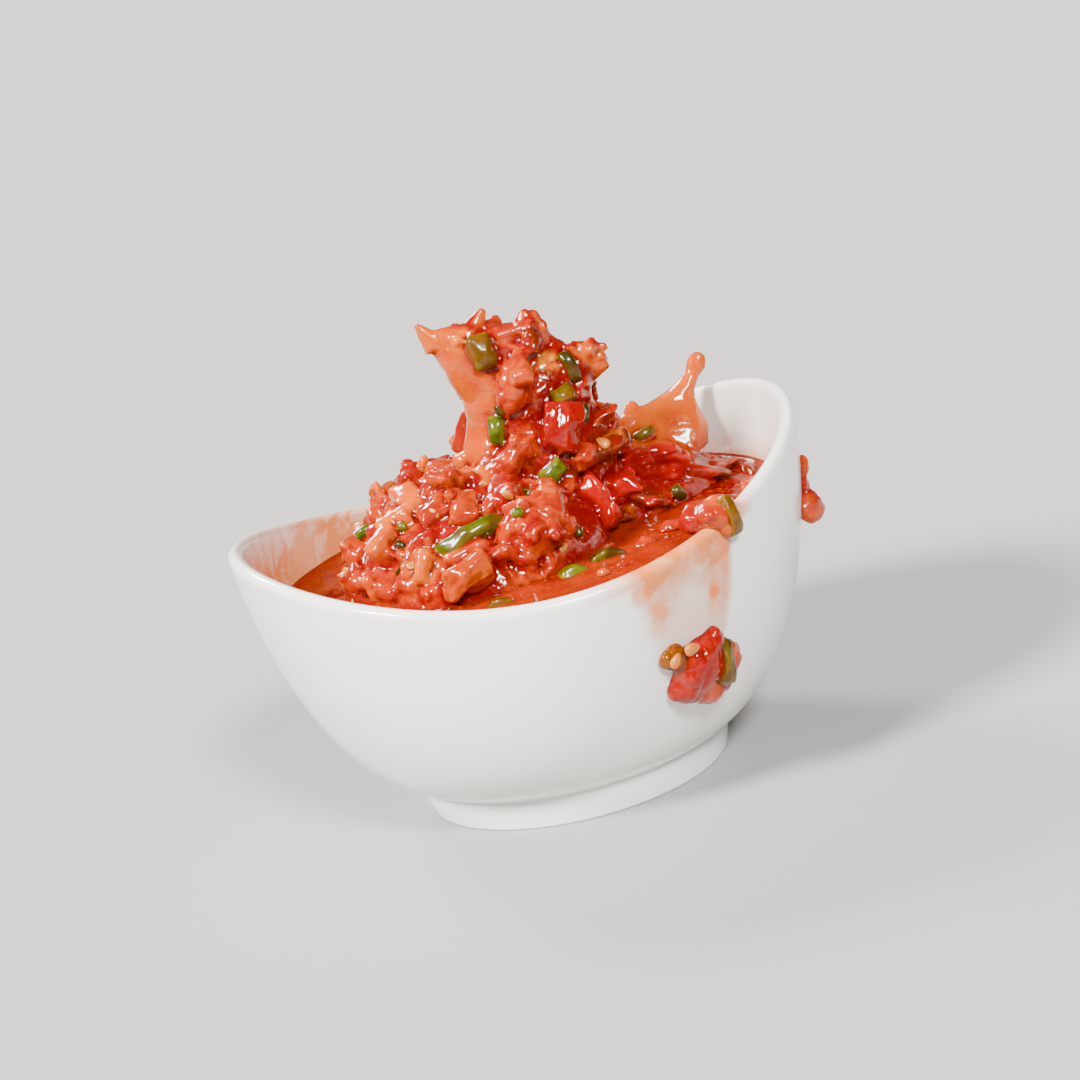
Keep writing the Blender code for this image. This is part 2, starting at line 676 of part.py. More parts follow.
def make_salsa(material):
    """The heap with its peak, its finger and the pieces fused on."""
    draw = random.Random(PIECE_SEED)
    salsa = heap_core(material)
    tree = core_tree(salsa)
    pieces, places = listed_pieces(tree, draw)
    pieces += fill_pieces(tree, places, draw)
    combine(salsa, pieces, "UNION")
    keep_largest(salsa)
    turn_contents(salsa)
    return salsa


def make_sauce(material):
    """The loose sauce up to its level, round the heap, with what floats in it."""
    draw = random.Random(SAUCE_SEED)
    sauce = new_object(turned_mesh(sauce_profile), "sauce", material)
    pocket = [new_object(mound_mesh(centre, radii, POCKET_FLOOR, GAP), "pocket")
              for centre, radii in MOUNDS]
    for cutter in pocket:
        turn_contents(cutter)
    combine(sauce, pocket, "DIFFERENCE")
    pieces = []
    for kind, x, y, length, width, height, spin in SAUCE_PIECES:
        spot = Vector((x, y, sauce_level(x)))
        axes = surface_axes(Vector((0.0, 0.0, 1.0)), spin)
        piece = new_object(hull_mesh(piece_points(kind, spot, axes, (length, width, height), draw)), "piece")
        turn_contents(piece)
        pieces.append(piece)
    combine(sauce, pieces, "UNION")
    keep_largest(sauce)
    return sauce


def grown_bowl_profile(turn):
    """The bowl's section grown all round by the gap, to cut what lies against it."""
    points, first, last = bowl_profile(turn)
    grown = []
    for before, here, after in zip([(0.0, first)] + points, points, points[1:] + [(0.0, last)]):
        run = Vector((after[0] - before[0], after[1] - before[1])).normalized()
        grown.append((here[0] + run.y * GAP, here[1] - run.x * GAP))
    return grown, first - GAP, last + GAP


def make_splat(name, lumps, material, spared=None):
    """Salsa stuck to the wall: rounded lumps, cut to lie against the bowl."""
    parts = []
    for turn, height, proud, radii in lumps:
        mesh = lump_mesh(radii)
        angle = math.radians(turn) + CONTENTS_TURN
        reach = outer_radius(height) + proud
        place = Matrix.Translation((reach * math.cos(angle), reach * math.sin(angle), height))
        mesh.transform(place @ Matrix.Rotation(angle - math.pi / 2.0, 4, "Z"))
        parts.append(new_object(mesh, name + "_lump"))
    body = new_object(bmesh.new(), name, material)
    body.data = parts[0].data.copy()
    body.data.name = name
    body.data.materials.append(material)
    bpy.data.objects.remove(parts.pop(0))
    combine(body, parts, "UNION")
    combine(body, [new_object(turned_mesh(grown_bowl_profile), "wall_cutter")], "DIFFERENCE")
    if spared is not None:
        combine(body, [spared], "DIFFERENCE")
    keep_largest(body)
    return body


def raised_sauce_profile(turn):
    """The sauce's section grown upward by the gap, to cut what lies on it."""
    points, first, last = sauce_profile(turn)
    return [(r, z + GAP) for r, z in points], first, last + GAP


def main():
    """Clear the scene and build the bowl and all that is in it and on it."""
    for thing in list(bpy.data.objects):
        bpy.data.objects.remove(thing)
    noise.seed_set(NOISE_SEED)
    glaze = principled("white_glaze")
    heap_red = principled("salsa_red")
    sauce_red = principled("sauce_red")
    splat_red = principled("splat_red")
    new_object(turned_mesh(bowl_profile), "bowl", glaze)
    make_sauce(sauce_red)
    make_salsa(heap_red)
    level = new_object(turned_mesh(raised_sauce_profile), "level_cutter")
    make_splat("rim_blob", RIM_BLOB, splat_red, level)
    make_splat("front_splat", FRONT_SPLAT, splat_red)
    make_splat("side_splat", SIDE_SPLAT, splat_red)


main()
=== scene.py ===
"""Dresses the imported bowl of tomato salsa: the glazed bowl, its juice and the chopped heap.

Sizes and places are millimetres until a mesh is made, when they become metres. The
contents lie turned a little to the bowl's saddle rim, so their places are given in
their own axes, x to the right and y away from the front, and turned at the end.
"""
import itertools
import logging
import math
import random
from dataclasses import dataclass, field
from enum import Enum
from functools import partial
from typing import Any, Callable, Iterable, Optional, Sequence

import bmesh
import bpy
import numpy as np
from bpy.types import Material, Node, NodeTree, Object
from mathutils import Matrix, Vector, noise
from mathutils.bvhtree import BVHTree


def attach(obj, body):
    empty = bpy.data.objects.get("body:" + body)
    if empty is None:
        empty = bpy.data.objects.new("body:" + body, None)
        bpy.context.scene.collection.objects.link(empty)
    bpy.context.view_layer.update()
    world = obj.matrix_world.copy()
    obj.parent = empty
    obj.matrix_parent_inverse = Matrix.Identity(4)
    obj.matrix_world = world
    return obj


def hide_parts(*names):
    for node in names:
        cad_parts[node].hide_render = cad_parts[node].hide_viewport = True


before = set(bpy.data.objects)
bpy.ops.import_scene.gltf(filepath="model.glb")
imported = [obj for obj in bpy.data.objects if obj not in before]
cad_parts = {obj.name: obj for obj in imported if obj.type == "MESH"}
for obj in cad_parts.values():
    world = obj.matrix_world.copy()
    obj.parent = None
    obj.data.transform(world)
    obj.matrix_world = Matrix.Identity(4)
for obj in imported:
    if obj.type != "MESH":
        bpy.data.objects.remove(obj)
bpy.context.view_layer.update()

MM = 0.001
NOISE_SEED = 3
log = logging.getLogger("salsa")

Triple = tuple[float, float, float]
Colour = tuple[float, float, float, float]
Axes = tuple[Vector, Vector, Vector]
Finishes = dict[str, Material]
Rows = Sequence[Sequence[Vector]]
Body = tuple[Sequence[Any], Sequence[Sequence[int]]]


def linear(hex_colour: str) -> Colour:
    """Turn an sRGB colour into the linear one that a shader wants.

    Args:
        hex_colour: The colour as "#RRGGBB".

    Returns:
        Red, green, blue and alpha, each from 0 to 1.
    """
    channels = []
    for start in (1, 3, 5):
        value = int(hex_colour[start:start + 2], 16) / 255.0
        channels.append(value / 12.92 if value <= 0.04045 else ((value + 0.055) / 1.055) ** 2.4)
    return (*channels, 1.0)


def eased(value: Any, low: float, high: float) -> Any:
    """Ease from 0 at low to 1 at high, for a number or an array.

    Args:
        value: The number or array.
        low: Where the result is 0.
        high: Where the result is 1.

    Returns:
        The eased number or array.
    """
    share = np.clip((value - low) / (high - low), 0.0, 1.0)
    return share * share * (3.0 - 2.0 * share)


@dataclass(frozen=True)
class SaddleCurve:
    """The turned wall's curve and its saddle rim, in millimetres."""

    radius: float = 62.05
    curve_top: float = 69.9
    curve_depth: float = 66.5
    power: float = 1.567
    roundness: float = 4.2
    wall: float = 3.2
    rim_height: float = 62.45
    saddle: float = 6.7
    rim_lean: float = 2.25
    floor_height: float = 9.5

    def outer(self, height: float) -> float:
        """Outer radius of the wall at a height."""
        drop = max(self.curve_top - height, 0.0) / self.curve_depth
        return self.radius * (1.0 - drop ** self.power) ** (1.0 / self.roundness)

    def hollow(self, height: float) -> float:
        """Radius of the hollow at a height, before it blends into the lip."""
        drop = min(max(self.curve_top - height, 0.0) / (self.curve_top - self.floor_height), 1.0)
        return (self.radius - self.wall) * (1.0 - drop ** self.power) ** (1.0 / self.roundness)

    def lip(self, turn: float) -> float:
        """Height of the middle of the round lip at a turn about Z."""
        crest = self.rim_height + self.saddle * math.cos(2.0 * turn) + self.rim_lean * math.cos(turn)
        return crest - self.wall / 2.0

    def inner(self, height: float, lip: float) -> float:
        """Radius of the inner wall where the lip stands at the given height.

        Args:
            height: Height of the place.
            lip: Height of the lip's middle.

        Returns:
            The radius.
        """
        share = max(height - self.floor_height, 0.0) / (lip - self.floor_height)
        step = self.outer(lip) - self.wall - self.hollow(lip)
        return self.hollow(height) + step * share ** 4


CURVE = SaddleCurve()
CONTENTS_TURN = math.radians(-10.46)
SAUCE_LEVEL = 51.0
SAUCE_SLOPE = 0.035
POCKET_FLOOR = 46.0
SECOND_POCKET_FLOOR = 47.0
# How a listed piece lies: how much it faces EYE, how uneven it lies, and which share
# of its thickness stands out. A line of sight that misses the core ends this deep.
FACING = 1.3
UNEVENNESS = 0.45
STAND_OUT = 0.15
NEAR_MISS_DEPTH = 5.0
ROOM_TO_WALL = 0.9
ROOM_TO_SAUCE = 0.6
EYE = Vector((0.0, -622.4, 217.5))
GOLDEN_TURN = math.radians(137.508)
UP = Vector((0.0, 0.0, 1.0))


def sauce_level(x: Any) -> Any:
    """Height of the sauce, which stands a little higher on the right."""
    return SAUCE_LEVEL + SAUCE_SLOPE * x


class Cut(Enum):
    """What a piece was cut from, which gives its form."""

    GEL = "gel"
    CUBE = "cube"
    WEDGE = "wedge"
    STRIP = "strip"
    PEPPER = "pepper"


class Tone(Enum):
    """Colour that a piece shows where it is well lit."""

    BLUSH = "#982A00"
    SALMON = "#841400"
    CORAL = "#7C0600"
    APRICOT = "#B45400"
    ORANGE = "#A83C00"
    SCARLET = "#7C0000"
    CRIMSON = "#600000"
    # The flesh tone below is a brighter copy of SCARLET, for the flesh pieces on the right that lie in
    # the peak's shade: painted light.
    LIT_FLESH = "#A00400"
    BROWN = "#541800"
    LIME = "#5A6604"
    LEAF = "#364600"
    OCHRE = "#643C00"
    OLIVE = "#442A00"
    MOSS = "#262000"
    STRAW = "#C07A18"


TONES = {tone: np.array(linear(tone.value)) for tone in Tone}
# The tone that a piece of each tone drifts to along its length.
NEIGHBOUR_TONES = {
    Tone.BLUSH: Tone.SALMON, Tone.SALMON: Tone.BLUSH, Tone.CORAL: Tone.SCARLET,
    Tone.APRICOT: Tone.ORANGE, Tone.ORANGE: Tone.SALMON, Tone.SCARLET: Tone.CORAL,
    Tone.CRIMSON: Tone.SCARLET, Tone.BROWN: Tone.CORAL, Tone.LIT_FLESH: Tone.CORAL,
    Tone.LEAF: Tone.OLIVE, Tone.OLIVE: Tone.OCHRE, Tone.OCHRE: Tone.OLIVE,
    Tone.MOSS: Tone.OLIVE, Tone.STRAW: Tone.APRICOT,
}
# The tone of a pepper's cut wall under its skin.
PEPPER_WALL = {Tone.LEAF: Tone.LIME, Tone.OLIVE: Tone.OCHRE, Tone.OCHRE: Tone.LIME,
               Tone.MOSS: Tone.OLIVE}
# The tones met on the left of the heap, in its middle and on its right.
LEFT_TONES = (Tone.SALMON, Tone.BLUSH, Tone.APRICOT, Tone.SALMON, Tone.ORANGE, Tone.CORAL)
MIDDLE_TONES = (Tone.SALMON, Tone.CORAL, Tone.BLUSH, Tone.SCARLET, Tone.ORANGE)
RIGHT_TONES = (Tone.SCARLET, Tone.BROWN, Tone.CORAL, Tone.CRIMSON, Tone.SALMON)
LEFT_EDGE = -5.0
RIGHT_EDGE = 11.0

# Width of a cut piece's top as a share of its foot's.
TAPERS = {Cut.CUBE: 0.9, Cut.WEDGE: 0.25, Cut.STRIP: 0.7, Cut.PEPPER: 0.85}

# Pieces that show on the heap: cut, where the line from EYE passes y = 0 (u across,
# w up), length, width and thickness, spin of the length on the surface, and tone.
HEAP_PIECES = (
    (Cut.GEL, 2.5, 55.0, 21.0, 17.0, 9.0, 25.0, Tone.BLUSH),
    (Cut.WEDGE, 16.4, 56.9, 13.0, 9.5, 7.0, -60.0, Tone.LIT_FLESH),
    (Cut.WEDGE, 28.7, 62.4, 19.5, 11.0, 8.0, 2.0, Tone.LIT_FLESH),
    (Cut.CUBE, 22.5, 58.5, 9.0, 7.0, 6.0, 10.0, Tone.LIT_FLESH),
    (Cut.GEL, -0.2, 70.1, 17.0, 8.5, 7.0, 33.0, Tone.SALMON),
    (Cut.GEL, 4.4, 72.7, 8.5, 6.0, 5.0, 40.0, Tone.SALMON),
    (Cut.GEL, -13.8, 67.9, 13.0, 11.0, 7.0, 20.0, Tone.SALMON),
    (Cut.GEL, -15.5, 73.6, 5.5, 5.0, 4.0, 60.0, Tone.APRICOT),
    (Cut.GEL, -9.8, 73.2, 6.0, 5.5, 4.5, 0.0, Tone.BLUSH),
    (Cut.STRIP, -24.0, 63.7, 12.5, 6.0, 5.0, 17.0, Tone.APRICOT),
    (Cut.GEL, -29.0, 65.5, 7.5, 7.0, 5.0, 30.0, Tone.BLUSH),
    (Cut.GEL, -35.4, 58.4, 9.0, 7.0, 6.0, 10.0, Tone.BLUSH),
    (Cut.GEL, -28.8, 57.6, 9.5, 8.5, 6.0, 40.0, Tone.SALMON),
    (Cut.GEL, -33.5, 52.0, 16.5, 7.0, 5.0, -9.0, Tone.SALMON),
    (Cut.STRIP, -22.2, 52.5, 7.5, 4.5, 4.0, 66.0, Tone.APRICOT),
    (Cut.GEL, -20.0, 58.6, 6.5, 5.0, 4.0, 30.0, Tone.CORAL),
    (Cut.CUBE, -13.6, 48.1, 12.0, 7.5, 7.0, 16.0, Tone.APRICOT),
    (Cut.STRIP, -12.9, 53.4, 11.0, 4.5, 4.0, 10.0, Tone.ORANGE),
    (Cut.GEL, -5.7, 62.0, 7.0, 5.5, 4.0, 20.0, Tone.BLUSH),
    (Cut.GEL, -6.5, 51.0, 9.0, 6.0, 5.0, -10.0, Tone.CORAL),
    (Cut.GEL, 11.5, 62.1, 5.5, 4.5, 4.0, 20.0, Tone.BLUSH),
    (Cut.STRIP, 20.2, 68.3, 15.0, 6.0, 4.5, 16.0, Tone.BROWN),
    (Cut.STRIP, 44.4, 58.2, 10.5, 5.5, 4.0, -3.0, Tone.BROWN),
    (Cut.STRIP, 46.1, 61.8, 12.5, 4.2, 3.5, -8.0, Tone.BROWN),
    (Cut.STRIP, 28.1, 55.1, 11.0, 4.0, 4.0, -25.0, Tone.BROWN),
    (Cut.GEL, 36.5, 61.0, 8.0, 5.0, 4.0, 70.0, Tone.CRIMSON),
    (Cut.PEPPER, 9.6, 66.2, 6.0, 4.8, 4.0, 31.0, Tone.LEAF),
    (Cut.PEPPER, -10.8, 56.9, 16.5, 4.2, 4.0, 17.0, Tone.LEAF),
    (Cut.PEPPER, -32.6, 62.7, 5.5, 2.6, 2.6, 17.0, Tone.LEAF),
    (Cut.PEPPER, 34.3, 55.1, 4.2, 3.2, 3.0, -70.0, Tone.MOSS),
    (Cut.PEPPER, 30.0, 69.2, 5.2, 2.7, 2.5, 16.0, Tone.OLIVE),
    (Cut.GEL, 6.2, 86.9, 16.5, 10.0, 8.0, 66.0, Tone.BLUSH),
    (Cut.CUBE, 13.6, 74.9, 12.0, 9.5, 7.0, 71.0, Tone.SCARLET),
    (Cut.PEPPER, 0.8, 94.9, 8.0, 6.0, 4.0, 96.0, Tone.OLIVE),
    (Cut.PEPPER, -0.1, 77.9, 6.5, 3.8, 3.5, 86.0, Tone.LEAF),
    (Cut.PEPPER, 15.2, 81.6, 5.6, 5.0, 3.5, 20.0, Tone.OLIVE),
    (Cut.PEPPER, 17.7, 87.6, 7.5, 3.2, 3.0, -74.0, Tone.MOSS),
    (Cut.PEPPER, 18.9, 76.9, 5.0, 1.8, 2.0, 80.0, Tone.MOSS),
    (Cut.WEDGE, 21.9, 75.0, 8.5, 5.0, 4.0, 20.0, Tone.ORANGE),
    (Cut.GEL, 9.2, 93.3, 7.0, 5.0, 4.0, 30.0, Tone.SCARLET),
    (Cut.GEL, 14.5, 90.0, 3.8, 2.8, 2.6, 20.0, Tone.STRAW),
    (Cut.GEL, -3.5, 98.5, 5.0, 4.0, 3.0, -30.0, Tone.APRICOT),
)

# Pieces that stand out of the sauce: cut, place, length, width, height, spin, tone.
SAUCE_PIECES = (
    (Cut.PEPPER, 15.6, -23.8, 8.0, 4.5, 3.4, 8.0, Tone.MOSS),
    (Cut.PEPPER, 8.0, -28.5, 6.5, 4.0, 3.0, 20.0, Tone.LEAF),
    (Cut.PEPPER, -7.5, -36.5, 6.0, 3.5, 2.6, 15.0, Tone.OLIVE),
    (Cut.GEL, 24.5, -21.5, 6.5, 4.5, 2.8, 20.0, Tone.BLUSH),
    (Cut.GEL, 31.5, -15.5, 9.0, 4.0, 2.6, 30.0, Tone.SALMON),
    (Cut.GEL, 14.0, -36.0, 3.6, 3.0, 2.6, 0.0, Tone.APRICOT),
    (Cut.GEL, -44.5, -6.0, 8.0, 5.0, 2.8, 80.0, Tone.CORAL),
    (Cut.STRIP, 51.2, 12.0, 7.0, 4.0, 2.8, 80.0, Tone.BROWN),
    (Cut.STRIP, 50.0, -0.5, 8.0, 4.2, 2.8, 65.0, Tone.ORANGE),
    (Cut.STRIP, 42.5, -9.5, 8.5, 4.2, 2.8, 38.0, Tone.BROWN),
)


@dataclass
class Shell:
    """Points in millimetres, their faces, and named values at the points."""

    points: np.ndarray
    faces: np.ndarray
    values: dict[str, np.ndarray] = field(default_factory=dict)

    def normals(self) -> np.ndarray:
        """Directions out of the surface at the points, as unit vectors.

        Returns:
            One unit vector for each point.
        """
        corners = self.points[self.faces]
        across = corners[:, 2] - corners[:, 0]
        other = corners[:, -1] - corners[:, 1]
        flat = np.cross(across, other)
        summed = np.zeros_like(self.points)
        for corner in range(self.faces.shape[1]):
            np.add.at(summed, self.faces[:, corner], flat)
        return summed / np.maximum(np.linalg.norm(summed, axis=1, keepdims=True), 1e-9)

    def push(self, distance: np.ndarray) -> None:
        """Move the points out of the surface by a distance each."""
        self.points = self.points + self.normals() * distance[:, None]

    def averaged(self, values: np.ndarray, steps: int) -> np.ndarray:
        """Values at the points after averaging with their neighbours' a few times.

        Args:
            values: One row for each point.
            steps: How often.

        Returns:
            The averaged values.
        """
        corners = self.faces.shape[1]
        edges = np.concatenate([self.faces[:, [i, (i + 1) % corners]] for i in range(corners)])
        starts = np.concatenate([edges[:, 0], edges[:, 1]])
        stops = np.concatenate([edges[:, 1], edges[:, 0]])
        size = len(self.points)
        count = np.maximum(np.bincount(starts, minlength=size), 1)[:, None]
        for _ in range(steps):
            total = np.stack([np.bincount(starts, weights=column[stops], minlength=size)
                              for column in values.T], axis=1)
            values = 0.5 * values + 0.5 * total / count
        return values

    def hollows(self, steps: int) -> np.ndarray:
        """How deep each point lies in a hollow, in millimetres; below 0 on a crest."""
        soft = self.averaged(self.points, steps)
        return ((soft - self.points) * self.normals()).sum(axis=1)

    def tree(self) -> BVHTree:
        """Search tree of the surface, in millimetres."""
        return BVHTree.FromPolygons(self.points.tolist(), self.faces.tolist())


def joined(shells: Sequence[Shell]) -> Shell:
    """Put shells together in one, without changing them.

    Args:
        shells: The shells. All have the same values and as many corners a face.

    Returns:
        One shell.
    """
    start = 0
    faces = []
    for shell in shells:
        faces.append(shell.faces + start)
        start += len(shell.points)
    values = {name: np.concatenate([shell.values[name] for shell in shells])
              for name in shells[0].values}
    return Shell(np.concatenate([shell.points for shell in shells]), np.concatenate(faces), values)


def turns_round(count: int) -> list[float]:
    """Evenly spaced turns once round, in radians."""
    return [2.0 * math.pi * step / count for step in range(count)]


def turned_faces(segments: int, count: int) -> np.ndarray:
    """Squares between neighbouring rows of points that stand once round the middle.

    Args:
        segments: How many rows there are.
        count: How many points a row has.

    Returns:
        The corners of each square.
    """
    faces = []
    for segment in range(segments):
        here = segment * count
        there = (segment + 1) % segments * count
        for low in range(count - 1):
            faces.append((here + low, there + low, there + low + 1, here + low + 1))
    return np.array(faces)


def new_object(name: str, shell: Shell, finish: Material,
               turn: float = 0.0) -> Object:
    """Make an object of a shell, in metres, with its values as attributes.

    Args:
        name: Name of the object.
        shell: The shell.
        finish: Its material.
        turn: Turn about Z, in radians.

    Returns:
        The object, linked into the scene.
    """
    data = bpy.data.meshes.new(name)
    points = shell.points * MM
    if turn:
        c, s = math.cos(turn), math.sin(turn)
        points = np.stack([points[:, 0] * c - points[:, 1] * s,
                           points[:, 0] * s + points[:, 1] * c, points[:, 2]], axis=1)
    corners = shell.faces.shape[1]
    data.vertices.add(len(points))
    data.vertices.foreach_set("co", points.ravel())
    data.loops.add(shell.faces.size)
    data.loops.foreach_set("vertex_index", shell.faces.ravel().astype(np.int32))
    data.polygons.add(len(shell.faces))
    data.polygons.foreach_set("loop_start", np.arange(0, shell.faces.size, corners, dtype=np.int32))
    data.update(calc_edges=True)
    data.shade_smooth()
    for label, value in shell.values.items():
        if value.ndim == 2 and value.shape[1] == 4:
            layer = data.attributes.new(label, "FLOAT_COLOR", "POINT")
            layer.data.foreach_set("color", value.ravel())
        elif value.ndim == 2:
            layer = data.attributes.new(label, "FLOAT_VECTOR", "POINT")
            layer.data.foreach_set("vector", value.ravel())
        else:
            layer = data.attributes.new(label, "FLOAT", "POINT")
            layer.data.foreach_set("value", value.ravel())
    data.validate()
    thing = bpy.data.objects.new(name, data)
    bpy.context.scene.collection.objects.link(thing)
    data.materials.append(finish)
    return thing


class Remesher:
    """Turns rough closed shells into even, softly rounded ones of small squares."""

    def __init__(self) -> None:
        """Make the hidden object that carries the modifiers."""
        self.thing = bpy.data.objects.new("remesher", bpy.data.meshes.new("remesher"))
        bpy.context.scene.collection.objects.link(self.thing)
        self.voxels = self.thing.modifiers.new("voxels", "REMESH")
        self.voxels.mode = "VOXEL"
        self.smooth = self.thing.modifiers.new("smooth", "SMOOTH")

    def run(self, points: Sequence[Sequence[float]], faces: Sequence[Sequence[int]], voxel: float,
            steps: int) -> Shell:
        """Remesh one closed shape.

        Args:
            points: The points, in millimetres.
            faces: Corners of each face.
            voxel: Size of the squares, in millimetres.
            steps: How often the result is smoothed.

        Returns:
            The shell, in millimetres.
        """
        data = self.thing.data
        data.clear_geometry()
        data.from_pydata(points, [], faces)
        data.update()
        self.voxels.voxel_size = voxel
        self.smooth.iterations = steps
        self.thing.update_tag()
        graph = bpy.context.evaluated_depsgraph_get()
        result = self.thing.evaluated_get(graph)
        made = result.to_mesh()
        co = np.empty(len(made.vertices) * 3)
        made.vertices.foreach_get("co", co)
        corners = np.empty(len(made.loops), dtype=np.int32)
        made.loops.foreach_get("vertex_index", corners)
        result.to_mesh_clear()
        return Shell(co.reshape(-1, 3), corners.reshape(-1, 4))

    def close(self) -> None:
        """Remove the hidden object."""
        bpy.data.objects.remove(self.thing)


# Inputs and output of a Mix node that mixes colours.
FACTOR, FIRST, SECOND, MIXED = 0, 6, 7, 2


def add_node(tree: NodeTree, kind: str, settings: Optional[dict[Any, Any]] = None,
             links: Optional[dict[Any, Any]] = None) -> Node:
    """Add a node with its settings and links.

    Args:
        tree: The node tree.
        kind: The node's type, without its leading ShaderNode. A Mix node mixes colours.
        settings: Values for its properties, or for its inputs by name or number.
        links: What to link to its inputs, by name or number: an output, or a node for
            its first output, or for its mixed colour.

    Returns:
        The node.
    """
    made = tree.nodes.new("ShaderNode" + kind)
    if kind == "Mix":
        made.data_type = "RGBA"
    for key, value in (settings or {}).items():
        if isinstance(key, str) and hasattr(made, key):
            setattr(made, key, value)
        else:
            made.inputs[key].default_value = value
    for key, source in (links or {}).items():
        if isinstance(source, Node):
            source = source.outputs[MIXED if source.bl_idname == "ShaderNodeMix" else 0]
        tree.links.new(source, made.inputs[key])
    return made


def new_material(name: str) -> tuple[Material, Callable[..., Node]]:
    """Make a material with an empty node tree.

    Args:
        name: Its name.

    Returns:
        The material, and the function that adds a node to its tree.
    """
    made = bpy.data.materials.new(name)
    made.use_nodes = True
    made.node_tree.nodes.clear()
    return made, partial(add_node, made.node_tree)


@dataclass(frozen=True)
class WetTomato:
    """Raw tomato, cut and wet with its own juice.

    Light goes some millimetres into the flesh and comes out redder, so thick parts
    glow; thin parts are also painted orange, as a painted glow of the light through
    them. A film of juice lies over it like a clear coat, which dips with every grain
    of the pulp, so each grain has its own white highlight. The crests of its relief
    are painted paler, a painted highlight, and its hollows darker red, partly as
    pooled juice and partly as painted shade.
    What the pulp under the film gives back is stained orange by the juice.
    """

    name: str
    depth_mm: float
    grain_mm: float
    grain_height_mm: float
    patch_mm: float = 3.5
    bead_mm: float = 1.5
    film_height_mm: float = 0.05
    roughness: float = 0.14
    speckle: float = 0.2
    # pale is the paler colour of the pulp's specks. It is also painted on the crests of the relief as a
    # painted highlight.
    pale: str = "#AE4400"
    # deep is painted into hollows and contact lines, partly as pooled juice and partly as painted shade.
    deep: str = "#6A0000"
    # thin is the orange painted on thin parts, as a painted glow of light through them.
    thin: str = "#AE4A00"
    patch_filter: Colour = (1.0, 0.5, 0.4, 1.0)
    glint_stain: Colour = (1.0, 0.4, 0.22, 1.0)

    def material(self) -> Material:
        """Build the material.

        Returns:
            The material.
        """
        made, node = new_material(self.name)
        place = node("TexCoord").outputs["Object"]
        tint = node("Attribute", {"attribute_name": "tint"}).outputs["Color"]
        depth, ridge, flap = (node("Attribute", {"attribute_name": label}).outputs["Fac"]
                              for label in ("depth", "ridge", "thin"))
        patches = node("TexNoise", {"Scale": 1.0 / (self.patch_mm * MM), "Detail": 3.0},
                       {"Vector": place})
        blotch = node("MapRange", {1: 0.4, 2: 0.75, 3: 0.0, 4: 0.5}, {0: patches})
        redder = node("Mix", {"blend_type": "MULTIPLY", SECOND: self.patch_filter},
                      {FACTOR: blotch, FIRST: tint})
        # Thin parts are painted orange: a painted glow of light passing through them.
        lit = node("Math", {"operation": "MULTIPLY", 1: 0.8}, {0: flap})
        glowing = node("Mix", {SECOND: linear(self.thin)}, {FACTOR: lit, FIRST: redder})
        cells = node("TexVoronoi", {"Scale": 1.0 / (self.bead_mm * MM), "Randomness": 1.0},
                     {"Vector": place})
        specks = node("MapRange", {1: 0.38, 2: 0.12, 3: 0.0, 4: self.speckle}, {0: cells})
        beaded = node("Mix", {SECOND: linear(self.pale)}, {FACTOR: specks, FIRST: glowing})
        # The crests of the relief are painted paler: a painted highlight where they would catch the
        # light.
        crest = node("MapRange", {1: 0.5, 2: 1.0, 3: 0.0, 4: 0.4}, {0: ridge})
        painted_highlight = node("Mix", {SECOND: linear(self.pale)}, {FACTOR: crest, FIRST: beaded})
        # Hollows, and lines where a piece meets the skin, the sauce or the wall, are painted deep red:
        # partly pooled juice, partly painted shade.
        sunk = node("Mix", {SECOND: linear(self.deep)}, {FACTOR: depth, FIRST: painted_highlight})
        grain = node("TexNoise", {"Scale": 1.0 / (self.grain_mm * MM), "Detail": 3.0,
                                  "Roughness": 0.55}, {"Vector": place})
        bump = node("Bump", {"Strength": 0.9, "Distance": self.grain_height_mm * MM},
                    {"Height": grain})
        film = node("Bump", {"Strength": 0.8, "Distance": self.film_height_mm * MM},
                    {"Height": grain})
        shader = node("BsdfPrincipled",
                      {"Roughness": self.roughness, "IOR": 1.4, "Specular IOR Level": 0.2,
                       "Specular Tint": self.glint_stain,
                       "Subsurface Weight": 0.9, "Subsurface Radius": (1.0, 0.15, 0.06),
                       "Subsurface Scale": self.depth_mm * MM,
                       "Coat Weight": 0.9, "Coat Roughness": 0.04, "Coat IOR": 1.4},
                      {"Base Color": sunk, "Normal": bump, "Coat Normal": film})
        node("OutputMaterial", None, {"Surface": shader})
        return made


